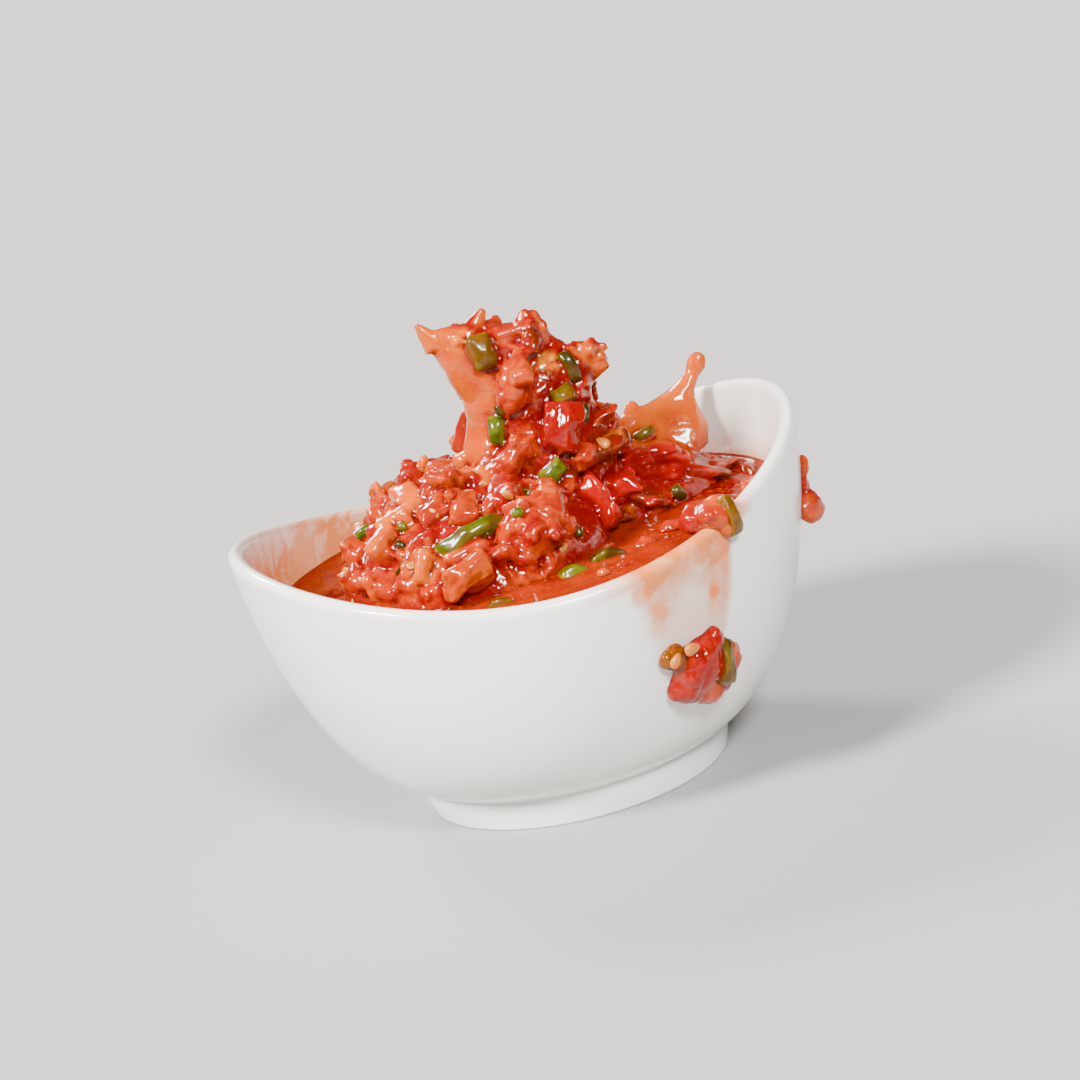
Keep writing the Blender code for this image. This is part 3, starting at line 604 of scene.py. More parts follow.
@dataclass(frozen=True)
class TomatoJuice:
    """Thin tomato juice with fine pulp in it, poured and standing.

    It is smooth as water on top and as clear as weak stock, so its colour comes from
    how deep it stands: orange where it is thin and blood red where it is deep.
    """

    name: str
    thin: str
    deep: str
    grain_mm: float
    ripple_mm: float
    cloud_mm: float = 6.0
    glow_depth_mm: float = 2.0
    fleck: str = "#943200"

    def material(self) -> Material:
        """Build the material.

        Returns:
            The material.
        """
        made, node = new_material(self.name)
        place = node("TexCoord").outputs["Object"]
        depth = node("Attribute", {"attribute_name": "depth"}).outputs["Fac"]
        clouds = node("TexNoise", {"Scale": 1.0 / (self.cloud_mm * MM), "Detail": 4.0,
                                   "Roughness": 0.62}, {"Vector": place})
        pulp = node("TexNoise", {"Scale": 1.0 / (self.grain_mm * MM), "Detail": 3.0},
                    {"Vector": place})
        mixed = node("Math", {"operation": "MULTIPLY_ADD", 1: 0.7, 2: -0.35}, {0: clouds})
        level = node("Math", {"operation": "ADD", "use_clamp": True}, {0: mixed, 1: depth})
        colour = node("Mix", {FIRST: linear(self.thin), SECOND: linear(self.deep)}, {FACTOR: level})
        specks = node("MapRange", {1: 0.56, 2: 0.7, 3: 0.0, 4: 0.6}, {0: pulp})
        flecked = node("Mix", {SECOND: linear(self.fleck)}, {FACTOR: specks, FIRST: colour})
        bump = node("Bump", {"Strength": 0.5, "Distance": self.ripple_mm * MM}, {"Height": pulp})
        shader = node("BsdfPrincipled",
                      {"Roughness": 0.12, "IOR": 1.35, "Specular IOR Level": 0.0,
                       "Subsurface Weight": 0.5, "Subsurface Radius": (1.0, 0.2, 0.07),
                       "Subsurface Scale": self.glow_depth_mm * MM,
                       "Coat Weight": 0.6, "Coat Roughness": 0.03, "Coat IOR": 1.34},
                      {"Base Color": flecked, "Normal": bump})
        node("OutputMaterial", None, {"Surface": shader})
        return made


@dataclass(frozen=True)
class GreenChilli:
    """Green chilli and pepper, diced with the skin on.

    The skin is waxy and darker, and the cut wall under it is paler and wetter. The
    crests of its relief are painted paler yellow-green, a painted highlight.
    """

    name: str = "green_chilli"
    grain_mm: float = 1.1
    grain_height_mm: float = 0.12
    glow_depth_mm: float = 1.5
    # edge is the paler colour painted on the crests of the relief as a painted highlight.
    edge: str = "#6C6C04"
    vein_filter: Colour = (0.55, 0.6, 0.4, 1.0)

    def material(self) -> Material:
        """Build the material.

        Returns:
            The material.
        """
        made, node = new_material(self.name)
        place = node("TexCoord").outputs["Object"]
        tint = node("Attribute", {"attribute_name": "tint"}).outputs["Color"]
        ridge = node("Attribute", {"attribute_name": "ridge"}).outputs["Fac"]
        grain = node("TexNoise", {"Scale": 1.0 / (self.grain_mm * MM), "Detail": 3.0},
                     {"Vector": place})
        # The crests of the relief are painted paler: a painted highlight.
        cut = node("MapRange", {1: 0.6, 2: 1.0, 3: 0.0, 4: 0.3}, {0: ridge})
        painted_highlight = node("Mix", {SECOND: linear(self.edge)}, {FACTOR: cut, FIRST: tint})
        shade = node("MapRange", {1: 0.35, 2: 0.7, 3: 0.0, 4: 0.5}, {0: grain})
        colour = node("Mix", {"blend_type": "MULTIPLY", SECOND: self.vein_filter},
                      {FACTOR: shade, FIRST: painted_highlight})
        bump = node("Bump", {"Strength": 0.4, "Distance": self.grain_height_mm * MM},
                    {"Height": grain})
        shader = node("BsdfPrincipled",
                      {"Roughness": 0.28, "IOR": 1.4, "Specular IOR Level": 0.2,
                       "Subsurface Weight": 0.35, "Subsurface Radius": (0.5, 1.0, 0.15),
                       "Subsurface Scale": self.glow_depth_mm * MM,
                       "Coat Weight": 0.8, "Coat Roughness": 0.04, "Coat IOR": 1.34},
                      {"Base Color": colour, "Normal": bump})
        node("OutputMaterial", None, {"Surface": shader})
        return made


@dataclass(frozen=True)
class TomatoSeed:
    """Tomato seed in its thin coat of gel: pale straw, a little furry, and wet."""

    name: str = "tomato_seed"
    colour: str = "#B87418"
    shade: str = "#984008"
    fuzz_mm: float = 0.9
    glow_depth_mm: float = 1.2

    def material(self) -> Material:
        """Build the material.

        Returns:
            The material.
        """
        made, node = new_material(self.name)
        place = node("TexCoord").outputs["Object"]
        fuzz = node("TexNoise", {"Scale": 1.0 / (self.fuzz_mm * MM), "Detail": 2.0},
                    {"Vector": place})
        colour = node("Mix", {FIRST: linear(self.colour), SECOND: linear(self.shade)},
                      {FACTOR: fuzz})
        shader = node("BsdfPrincipled",
                      {"Roughness": 0.35, "IOR": 1.4, "Subsurface Weight": 0.5,
                       "Subsurface Radius": (1.0, 0.5, 0.2),
                       "Subsurface Scale": self.glow_depth_mm * MM,
                       "Coat Weight": 0.8, "Coat Roughness": 0.06, "Coat IOR": 1.34},
                      {"Base Color": colour})
        node("OutputMaterial", None, {"Surface": shader})
        return made


@dataclass(frozen=True)
class GlazedStoneware:
    """White stoneware, dipped in a clear glossy glaze and fired.

    The glaze ran very slightly before it set, so reflections waver. Juice dries on it
    as a thin pink to tan film, with blots where pulp stuck and a few brown specks.
    """

    name: str = "white_glazed_stoneware"
    body: str = "#DFE0DB"
    warm_body: str = "#D8D7D1"
    film: str = "#BC6A38"
    pulp: str = "#D06A22"
    speck: str = "#6A2410"
    body_patch_mm: float = 30.0
    film_patch_mm: float = 5.0
    blot_mm: float = 2.6
    speck_spacing_mm: float = 4.5
    waver_mm: float = 9.0
    waver_height_mm: float = 0.12
    glow_depth_mm: float = 1.0

    def material(self) -> Material:
        """Build the material.

        Returns:
            The material.
        """
        made, node = new_material(self.name)
        place = node("TexCoord").outputs["Object"]
        stain, streak, speckled = (node("Attribute", {"attribute_name": label}).outputs["Fac"]
                                   for label in ("stain", "streak", "speckled"))
        wall = node("Attribute", {"attribute_name": "wall_place"}).outputs["Vector"]
        warm = node("TexNoise", {"Scale": 1.0 / (self.body_patch_mm * MM), "Detail": 2.0},
                    {"Vector": place})
        clay = node("Mix", {FIRST: linear(self.body), SECOND: linear(self.warm_body)},
                    {FACTOR: warm})
        cloud = node("TexNoise", {"Scale": 1.0 / self.film_patch_mm, "Detail": 5.0,
                                  "Roughness": 0.6, "Distortion": 0.6}, {"Vector": wall})
        patchy = node("MapRange", {1: 0.32, 2: 0.66, 3: 0.58, 4: 1.0}, {0: cloud})
        soaked = node("Math", {"operation": "MULTIPLY", "use_clamp": True}, {0: patchy, 1: stain})
        filmed = node("Mix", {SECOND: linear(self.film)}, {FACTOR: soaked, FIRST: clay})
        blots = node("TexNoise", {"Scale": 1.0 / self.blot_mm, "Detail": 3.0, "Roughness": 0.55,
                                  "Distortion": 0.4}, {"Vector": wall})
        blotted = node("MapRange", {1: 0.3, 2: 0.55, 3: 0.55, 4: 1.0}, {0: blots})
        dried = node("Math", {"operation": "MULTIPLY", "use_clamp": True}, {0: blotted, 1: streak})
        pulped = node("Mix", {SECOND: linear(self.pulp)}, {FACTOR: dried, FIRST: filmed})
        cells = node("TexVoronoi", {"Scale": 1.0 / self.speck_spacing_mm, "Randomness": 1.0},
                     {"Vector": wall})
        dot = node("MapRange", {1: 0.085, 2: 0.06, 3: 0.0, 4: 1.0}, {0: cells})
        speck = node("Math", {"operation": "MULTIPLY", "use_clamp": True}, {0: dot, 1: speckled})
        colour = node("Mix", {SECOND: linear(self.speck)}, {FACTOR: speck, FIRST: pulped})
        waver = node("TexNoise", {"Scale": 1.0 / (self.waver_mm * MM), "Detail": 1.0},
                     {"Vector": place})
        bump = node("Bump", {"Strength": 0.25, "Distance": self.waver_height_mm * MM},
                    {"Height": waver})
        shader = node("BsdfPrincipled",
                      {"Roughness": 0.16, "IOR": 1.5, "Subsurface Weight": 0.06,
                       "Subsurface Radius": (1.0, 0.9, 0.8),
                       "Subsurface Scale": self.glow_depth_mm * MM},
                      {"Base Color": colour, "Normal": bump})
        node("OutputMaterial", None, {"Surface": shader})
        return made


@dataclass(frozen=True)
class PaperSweep:
    """Matt off-white background paper, which gives a plain floor with no highlight."""

    name: str = "paper_sweep"
    colour: str = "#94928F"

    def material(self) -> Material:
        """Build the material.

        Returns:
            The material.
        """
        made, node = new_material(self.name)
        shader = node("BsdfPrincipled", {"Base Color": linear(self.colour), "Roughness": 0.9})
        node("OutputMaterial", None, {"Surface": shader})
        return made


@dataclass(frozen=True)
class Viewpoint:
    """The camera, placed as the photograph was taken."""

    place: Triple = (0.0, -622.38, 217.47)
    aim: Triple = (3.278, 0.0, 52.24)
    roll: float = math.radians(13.642)
    lens: float = 100.45
    sensor: float = 36.0

    def build(self) -> None:
        """Make the camera and set it as the scene's."""
        data = bpy.data.cameras.new("viewpoint")
        data.lens = self.lens
        data.sensor_width = self.sensor
        camera = bpy.data.objects.new("viewpoint", data)
        bpy.context.scene.collection.objects.link(camera)
        place, aim = Vector(self.place), Vector(self.aim)
        forward = (aim - place).normalized()
        right = forward.cross(UP).normalized()
        up = right.cross(forward)
        across = math.cos(self.roll) * right - math.sin(self.roll) * up
        above = math.sin(self.roll) * right + math.cos(self.roll) * up
        matrix = Matrix((across, above, -forward)).transposed().to_4x4()
        matrix.translation = place * MM
        camera.matrix_world = Matrix.Rotation(CONTENTS_TURN, 4, "Z") @ matrix
        bpy.context.scene.camera = camera


@dataclass(frozen=True)
class SoftSun:
    """Even soft light from one side, as a large far window gives."""

    name: str
    come_from: Triple
    strength: float
    width: float
    colour: str

    def build(self) -> None:
        """Make the light."""
        data = bpy.data.lights.new(self.name, "SUN")
        data.energy = self.strength
        data.angle = math.radians(self.width)
        data.color = linear(self.colour)[:3]
        lamp = bpy.data.objects.new(self.name, data)
        bpy.context.scene.collection.objects.link(lamp)
        lamp.rotation_mode = "QUATERNION"
        lamp.rotation_quaternion = (-Vector(self.come_from)).to_track_quat("-Z", "Y")


@dataclass(frozen=True)
class Studio:
    """A plain paper floor in a dim pale room, with soft light from the left and the front."""

    room: str = "#F2F4F8"
    room_strength: float = 0.16
    floor_reach: float = 6000.0
    lights: tuple[SoftSun, ...] = (
        SoftSun("key", (-0.78, -0.34, 0.68), 13.0, 15.0, "#FFFBF6"),
        SoftSun("front_fill", (0.1, -1.0, 0.75), 8.5, 13.0, "#FFFFFF"),
        SoftSun("back_rim", (-0.35, 0.9, 0.75), 4.5, 16.0, "#FFFFFF"),
    )

    def build(self) -> None:
        """Make the floor, the room and the lights."""
        world = bpy.data.worlds.new("room")
        world.use_nodes = True
        world.node_tree.nodes.clear()
        air = add_node(world.node_tree, "Background", {"Color": linear(self.room),
                                                       "Strength": self.room_strength})
        add_node(world.node_tree, "OutputWorld", None, {"Surface": air})
        bpy.context.scene.world = world
        for light in self.lights:
            light.build()
        reach = self.floor_reach
        points = np.array([(-reach, -reach, 0.0), (reach, -reach, 0.0), (reach, reach, 0.0),
                           (-reach, reach, 0.0)])
        floor = new_object("paper_floor", Shell(points, np.array([[0, 1, 2, 3]])),
                           PaperSweep().material())


@dataclass
class Bowl:
    """The turned bowl on its low foot, with a round lip and a saddle rim.

    Each blot on its outer wall is a turn, a height, half a width, half a height and
    how strong it is.
    """

    foot_radius: float = 33.0
    foot_top_radius: float = 34.4
    foot_height: float = 7.0
    foot_width: float = 5.0
    foot_recess: float = 3.6
    foot_edge: float = 0.7
    segments: int = 400
    wall_rings: int = 72
    wall_crowding: float = 1.35
    hollow_crowding: float = 2.2
    lip_steps: int = 12
    film: float = 0.45
    film_left: float = 0.95
    film_reach: float = 3.5
    film_reach_left: float = 14.0
    blots: tuple[tuple[float, float, float, float, float], ...] = (
        (-71.1, 51.5, 1.9, 2.2, 0.75),
        (-67.4, 47.1, 2.6, 2.3, 0.7),
        (-68.6, 43.5, 2.0, 2.2, 0.4),
        (-54.4, 46.7, 1.3, 2.1, 1.3),
        (-54.8, 43.4, 1.4, 2.2, 0.5),
        (-59.4, 54.9, 4.0, 1.8, 0.4),
        (-51.6, 53.5, 1.6, 3.2, 0.65),
        (-50.8, 46.5, 1.2, 4.5, 0.45),
        (178.0, 59.0, 3.0, 3.0, 0.5),
        (-176.0, 52.0, 1.6, 7.0, 0.25),
        (-160.0, 43.0, 1.2, 9.0, 0.16),
        (-9.0, 57.0, 2.0, 5.0, 0.3),
    )

    def profile(self, turn: float) -> list[tuple[float, float]]:
        """The section from the middle of the underside round to the floor.

        Args:
            turn: Turn about Z of the section.

        Returns:
            Radius and height of each point.
        """
        lip = CURVE.lip(turn)
        inner_foot = self.foot_radius - self.foot_width
        points = [(r, self.foot_recess) for r in (0.5, 8.0, 16.0, inner_foot - 3.0)]
        points += [(inner_foot - 1.2, self.foot_recess * 0.9), (inner_foot, self.foot_recess * 0.55)]
        points += self.rounded_edge(inner_foot + self.foot_edge, -1.0)
        points += self.rounded_edge(self.foot_radius - self.foot_edge, 1.0)
        points += [(self.foot_radius + 0.5, 2.6), (self.foot_top_radius, self.foot_height - 0.8)]
        for ring in range(self.wall_rings + 1):
            share = (ring / self.wall_rings) ** self.wall_crowding
            height = self.foot_height + (lip - self.foot_height) * share
            points.append((CURVE.outer(height), height))
        half = CURVE.wall / 2.0
        middle = CURVE.outer(lip) - half
        for step in range(1, self.lip_steps + 1):
            angle = math.pi * step / self.lip_steps
            points.append((middle + half * math.cos(angle), lip + half * math.sin(angle)))
        for ring in range(self.wall_rings - 1, 0, -1):
            share = (ring / self.wall_rings) ** self.hollow_crowding
            height = CURVE.floor_height + (lip - CURVE.floor_height) * share
            points.append((CURVE.inner(height, lip), height))
        points.append((0.5, CURVE.floor_height))
        return points

    def rounded_edge(self, middle: float, side: float) -> list[tuple[float, float]]:
        """The foot ring's small rounded edge, towards the middle or outward by side.

        Args:
            middle: Radius where the edge begins to round.
            side: -1 towards the middle, 1 outward.

        Returns:
            Radius and height of each point.
        """
        steps = range(4) if side > 0 else range(3, -1, -1)
        points = []
        for step in steps:
            angle = math.pi / 2.0 * step / 3.0
            points.append((middle + side * self.foot_edge * math.sin(angle),
                           self.foot_edge * (1.0 - math.cos(angle))))
        return points

    def smear(self, turns: np.ndarray, height: np.ndarray) -> np.ndarray:
        """The broad smear down the front of the wall, narrower towards its foot.

        Args:
            turns: Turn of each point about Z, in the contents' axes, in degrees.
            height: Height of each point.

        Returns:
            How thick it is at each point, from 0 to 1.
        """
        left = -67.8 - (height - 37.2) * 0.29
        right = -48.4 - np.maximum(54.5 - height, 0.0) * 0.15
        smear = eased(turns, left - 2.0, left + 3.5)
        smear = smear * (1.0 - eased(turns, right - 1.5, right + 0.8))
        return smear * eased(height, 34.0, 39.0)

    def blotted(self, turns: np.ndarray, height: np.ndarray, reach: np.ndarray) -> np.ndarray:
        """The small blots on the wall.

        Args:
            turns: Turn of each point about Z, in the contents' axes, in degrees.
            height: Height of each point.
            reach: How far each point is from the bowl's middle line.

        Returns:
            How strong the strongest blot is at each point.
        """
        strongest = np.zeros(len(turns))
        for turn, z, wide, tall, strength in self.blots:
            off = (turns - turn + 180.0) % 360.0 - 180.0
            along = np.radians(off) * reach / wide
            spot = eased(1.6 - np.sqrt(along ** 2 + ((height - z) / tall) ** 2), 0.0, 1.1)
            strongest = np.maximum(strongest, spot * strength)
        return strongest

    def stains(self, points: np.ndarray, turns: np.ndarray,
               inside: np.ndarray) -> dict[str, np.ndarray]:
        """Where juice has dried on the glaze.

        Args:
            points: The mesh's points.
            turns: Turn of each point about Z, in the contents' axes, in degrees.
            inside: 1 where a point is on the inner wall, and 0 elsewhere.

        Returns:
            The values stain, streak and speckled, and the place on the wall in millimetres.
        """
        height = points[:, 2]
        reach = np.hypot(points[:, 0], points[:, 1])
        outside = 1.0 - inside
        across = np.cos(np.radians(turns))
        above = np.maximum(height - sauce_level(reach * across), 0.0)
        left = eased(-across, -0.1, 0.8)
        fall = np.exp(-(above / (self.film_reach + self.film_reach_left * left)) ** 2)
        stain = inside * np.maximum((self.film + self.film_left * left) * fall, 0.1 * (1.0 - left))
        front_right = eased(turns, -84.0, -66.0) * (1.0 - eased(turns, -48.0, -38.0))
        lips = np.array([CURVE.lip(math.radians(turn) + CONTENTS_TURN) for turn in turns])
        edge = eased(height - lips, -2.4, -0.8)
        stain = np.maximum(stain, np.maximum(0.8 * inside, edge) * front_right)
        smear = self.smear(turns, height) * outside
        rim_side = eased(height, 44.0, 56.0)
        edges = 1.0 - eased(np.abs(turns + 60.5), 4.0, 9.0)
        stain = np.maximum(stain, smear * (0.95 + 0.2 * rim_side - 0.4 * edges * (1.0 - rim_side)))
        streak = self.blotted(turns, height, reach) * outside
        streak = np.maximum(streak, 0.55 * edge * front_right)
        lobe = eased(across, 0.3, 0.9) * inside
        streak = np.maximum(streak, lobe * (0.09 + 0.55 * np.exp(-(above / 4.5) ** 2)))
        speckled = np.maximum(0.8 * smear, 0.25 * inside)
        wall_place = np.stack([np.radians(turns) * reach, height, inside * 40.0], axis=1)
        return {"stain": stain, "streak": streak, "speckled": speckled, "wall_place": wall_place}

    def build(self, finish: Material) -> None:
        """Make the bowl.

        Args:
            finish: The glaze.
        """
        rows: list[list[Triple]] = []
        turns: list[float] = []
        inside: list[float] = []
        for turn in turns_round(self.segments):
            section = self.profile(turn)
            rows.append([(r * math.cos(turn), r * math.sin(turn), z) for r, z in section])
            turns += [math.degrees(turn - CONTENTS_TURN)] * len(section)
            first_inside = len(section) - self.wall_rings - self.lip_steps // 2
            inside += [float(i >= first_inside) for i in range(len(section))]
        points = np.array(rows).reshape(-1, 3)
        turned = (np.array(turns) + 180.0) % 360.0 - 180.0
        shell = Shell(points, turned_faces(self.segments, len(rows[0])),
                      self.stains(points, turned, np.array(inside)))
        bowl = new_object("glazed_bowl", shell, finish)
        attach(bowl, "root")
        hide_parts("bowl")


@dataclass(frozen=True)
class Mound:
    """A dome of thick salsa with a flat underside."""

    centre: Triple
    radii: Triple
    floor: float
    rings: int = 7
    segments: int = 26
    roughness: float = 2.2
    grain: float = 9.0
    rough_from: float = 53.0
    rough_full: float = 58.0

    def rows(self, finer: int) -> tuple[Rows, Sequence[Vector]]:
        """Rows of points from the top down, and the two ends.

        Args:
            finer: How many times finer than the solid part's dome it is.

        Returns:
            The rows and the ends.
        """
        centre, radii = self.centre, self.radii
        lowest = math.acos(max((self.floor - centre[2]) / radii[2], -1.0))
        rings, segments = self.rings * finer, self.segments * finer
        rows = []
        for ring in range(1, rings + 1):
            polar = lowest * ring / rings
            row = []
            for turn in turns_round(segments):
                point = Vector((centre[0] + radii[0] * math.sin(polar) * math.cos(turn),
                                centre[1] + radii[1] * math.sin(polar) * math.sin(turn),
                                centre[2] + radii[2] * math.cos(polar)))
                share = (point.z - self.rough_from) / (self.rough_full - self.rough_from)
                share = min(max(share, 0.0), 1.0)
                row.append(point + noise.noise_vector(point / self.grain) * self.roughness * share)
            rows.append(row)
        ends = (Vector((centre[0], centre[1], centre[2] + radii[2])),
                Vector((centre[0], centre[1], self.floor)))
        return rows, ends


@dataclass(frozen=True)
class Splash:
    """A flat upright body of thick salsa, level by level from the top down.

    Each level is its height, left side, right side, middle in y and half thickness.
    """

    levels: tuple[tuple[float, float, float, float, float], ...]
    sides: int = 14
    roughness: float = 1.3
    grain: float = 7.0
    full_thickness: float = 4.0
    cap: float = 0.6

    def rows(self, finer: int) -> tuple[Rows, Sequence[Vector]]:
        """Rows of points from the top down, and the two ends.

        Args:
            finer: How many times finer than the solid part's body it is.

        Returns:
            The rows and the ends.
        """
        levels = []
        for upper, lower in zip(self.levels, self.levels[1:]):
            for step in range(finer):
                share = step / finer
                levels.append([a * (1.0 - share) + b * share for a, b in zip(upper, lower)])
        levels.append(list(self.levels[-1]))
        sides = self.sides * finer
        rows = []
        for height, left, right, middle, thick in levels:
            roughness = self.roughness * min(thick / self.full_thickness, 1.0)
            row = []
            for turn in turns_round(sides):
                point = Vector(((left + right) / 2.0 + (right - left) / 2.0 * math.cos(turn),
                                middle + thick * math.sin(turn), height))
                row.append(point + noise.noise_vector(point / self.grain) * roughness)
            rows.append(row)
        ends = [sum(row, Vector()) / len(row) for row in (rows[0], rows[-1])]
        ends[0].z += self.levels[0][4] * self.cap
        return rows, ends


@dataclass(frozen=True)
class Horn:
    """A torn point of thick salsa, from its root to its tip."""

    root: Triple
    root_width: float
    root_thickness: float
    tip: Triple
    tip_width: float
    tip_thickness: float
    sides: int = 8

    def points(self) -> list[Vector]:
        """Points round the root and the tip.

        Returns:
            The points.
        """
        points = []
        along = (Vector(self.tip) - Vector(self.root)).normalized()
        deep = Vector((0.0, 1.0, 0.0))
        wide = deep.cross(along).normalized()
        for middle, width, thickness in ((self.root, self.root_width, self.root_thickness),
                                         (self.tip, self.tip_width, self.tip_thickness)):
            for turn in turns_round(self.sides):
                points.append(Vector(middle) + wide * width * math.cos(turn)
                              + deep * thickness * math.sin(turn))
        return points


def closed_faces(rows: Rows, ends: Sequence[Vector]) -> Body:
    """Points and triangles of the closed body through rows of points.

    Args:
        rows: Rows of points, from the top down.
        ends: The top and the bottom point.

    Returns:
        The points, and the corners of each triangle.
    """
    count = len(rows[0])
    points = [point for row in rows for point in row] + list(ends)
    top, bottom = len(points) - 2, len(points) - 1
    faces = []
    for i in range(count):
        j = (i + 1) % count
        faces.append((top, i, j))
        for level in range(len(rows) - 1):
            upper, lower = level * count, (level + 1) * count
            faces.append((upper + i, lower + i, lower + j))
            faces.append((upper + i, lower + j, upper + j))
        last = (len(rows) - 1) * count
        faces.append((last + j, last + i, bottom))
    return points, faces


def hull_body(corners: Sequence[Vector]) -> Body:
    """Points and faces of the convex body round corners.

    Args:
        corners: The corners.

    Returns:
        The points, and the corners of each face.
    """
    mesh = bmesh.new()
    for corner in corners:
        mesh.verts.new(corner)
    made = bmesh.ops.convex_hull(mesh, input=mesh.verts)
    spare = {v for v in made["geom_interior"] + made["geom_unused"] if isinstance(v, bmesh.types.BMVert)}
    bmesh.ops.delete(mesh, geom=list(spare), context="VERTS")
    mesh.verts.index_update()
    points = [v.co.copy() for v in mesh.verts]
    faces = [tuple(v.index for v in face.verts) for face in mesh.faces]
    mesh.free()
    return points, faces


def gathered(bodies: Iterable[Body]) -> Body:
    """Put bodies together in one list of points and one of faces.

    Args:
        bodies: The bodies.

    Returns:
        The points, and the corners of each face.
    """
    points: list[Any] = []
    faces: list[tuple[int, ...]] = []
    for own_points, own_faces in bodies:
        faces += [tuple(corner + len(points) for corner in face) for face in own_faces]
        points += [tuple(p) for p in own_points]
    return points, faces


def surface_axes(out: Vector, spin: float) -> Axes:
    """Length, width and thickness directions of a piece that lies on a surface.

    Args:
        out: Direction out of the surface.
        spin: Turn of the length on the surface, in degrees.

    Returns:
        The three directions.
    """
    across = Vector((1.0, 0.0, 0.0)) - out * out.x
    across.normalize()
    up = out.cross(across)
    angle = math.radians(spin)
    length = across * math.cos(angle) + up * math.sin(angle)
    return length, out.cross(length), out


def kept_clear(point: Vector) -> Vector:
    """The point lifted out of the sauce and drawn in from the bowl's wall.

    Args:
        point: The point, in the contents' axes.

    Returns:
        The point, moved.
    """
    reach = math.hypot(point.x, point.y)
    lip = CURVE.lip(math.atan2(point.y, point.x) + CONTENTS_TURN)
    room = CURVE.inner(min(point.z, lip), lip) - ROOM_TO_WALL
    if reach > room:
        point = Vector((point.x * room / reach, point.y * room / reach, point.z))
    return Vector((point.x, point.y, max(point.z, sauce_level(point.x) + ROOM_TO_SAUCE)))


DOME_STEEPNESS = 2.6


def dome(at: Vector, size: float) -> float:
    """Height at a place of a carpet of rounded beads: 1 on top of one and 0 between them."""
    near = noise.voronoi(at / size)[0][0]
    return max(1.0 - DOME_STEEPNESS * near * near, 0.0)


def drifted(tone: Tone, at: Vector) -> np.ndarray:
    """A tone that drifts to its neighbour from place to place.

    Args:
        tone: The tone.
        at: The place, in millimetres.

    Returns:
        The linear colour.
    """
    share = float(eased(noise.noise(at / 4.0), -0.45, 0.75))
    return TONES[tone] * (1.0 - share) + TONES[NEIGHBOUR_TONES[tone]] * share


# How deep each kind's relief is, how often the kind is smoothed, how far it is warped
# and how much it bows.
RELIEFS = {Cut.GEL: 0.3, Cut.STRIP: 0.3, Cut.CUBE: 0.26, Cut.WEDGE: 0.3, Cut.PEPPER: 0.09}
SMOOTHINGS = {Cut.GEL: 6, Cut.STRIP: 6, Cut.CUBE: 9, Cut.WEDGE: 7, Cut.PEPPER: 8}
WARPS = {Cut.GEL: 0.9, Cut.STRIP: 0.9, Cut.CUBE: 0.9, Cut.WEDGE: 0.9, Cut.PEPPER: 0.7}
BENDS = {Cut.GEL: 0.0, Cut.STRIP: 0.05, Cut.CUBE: 0.03, Cut.WEDGE: 0.04, Cut.PEPPER: 0.16}


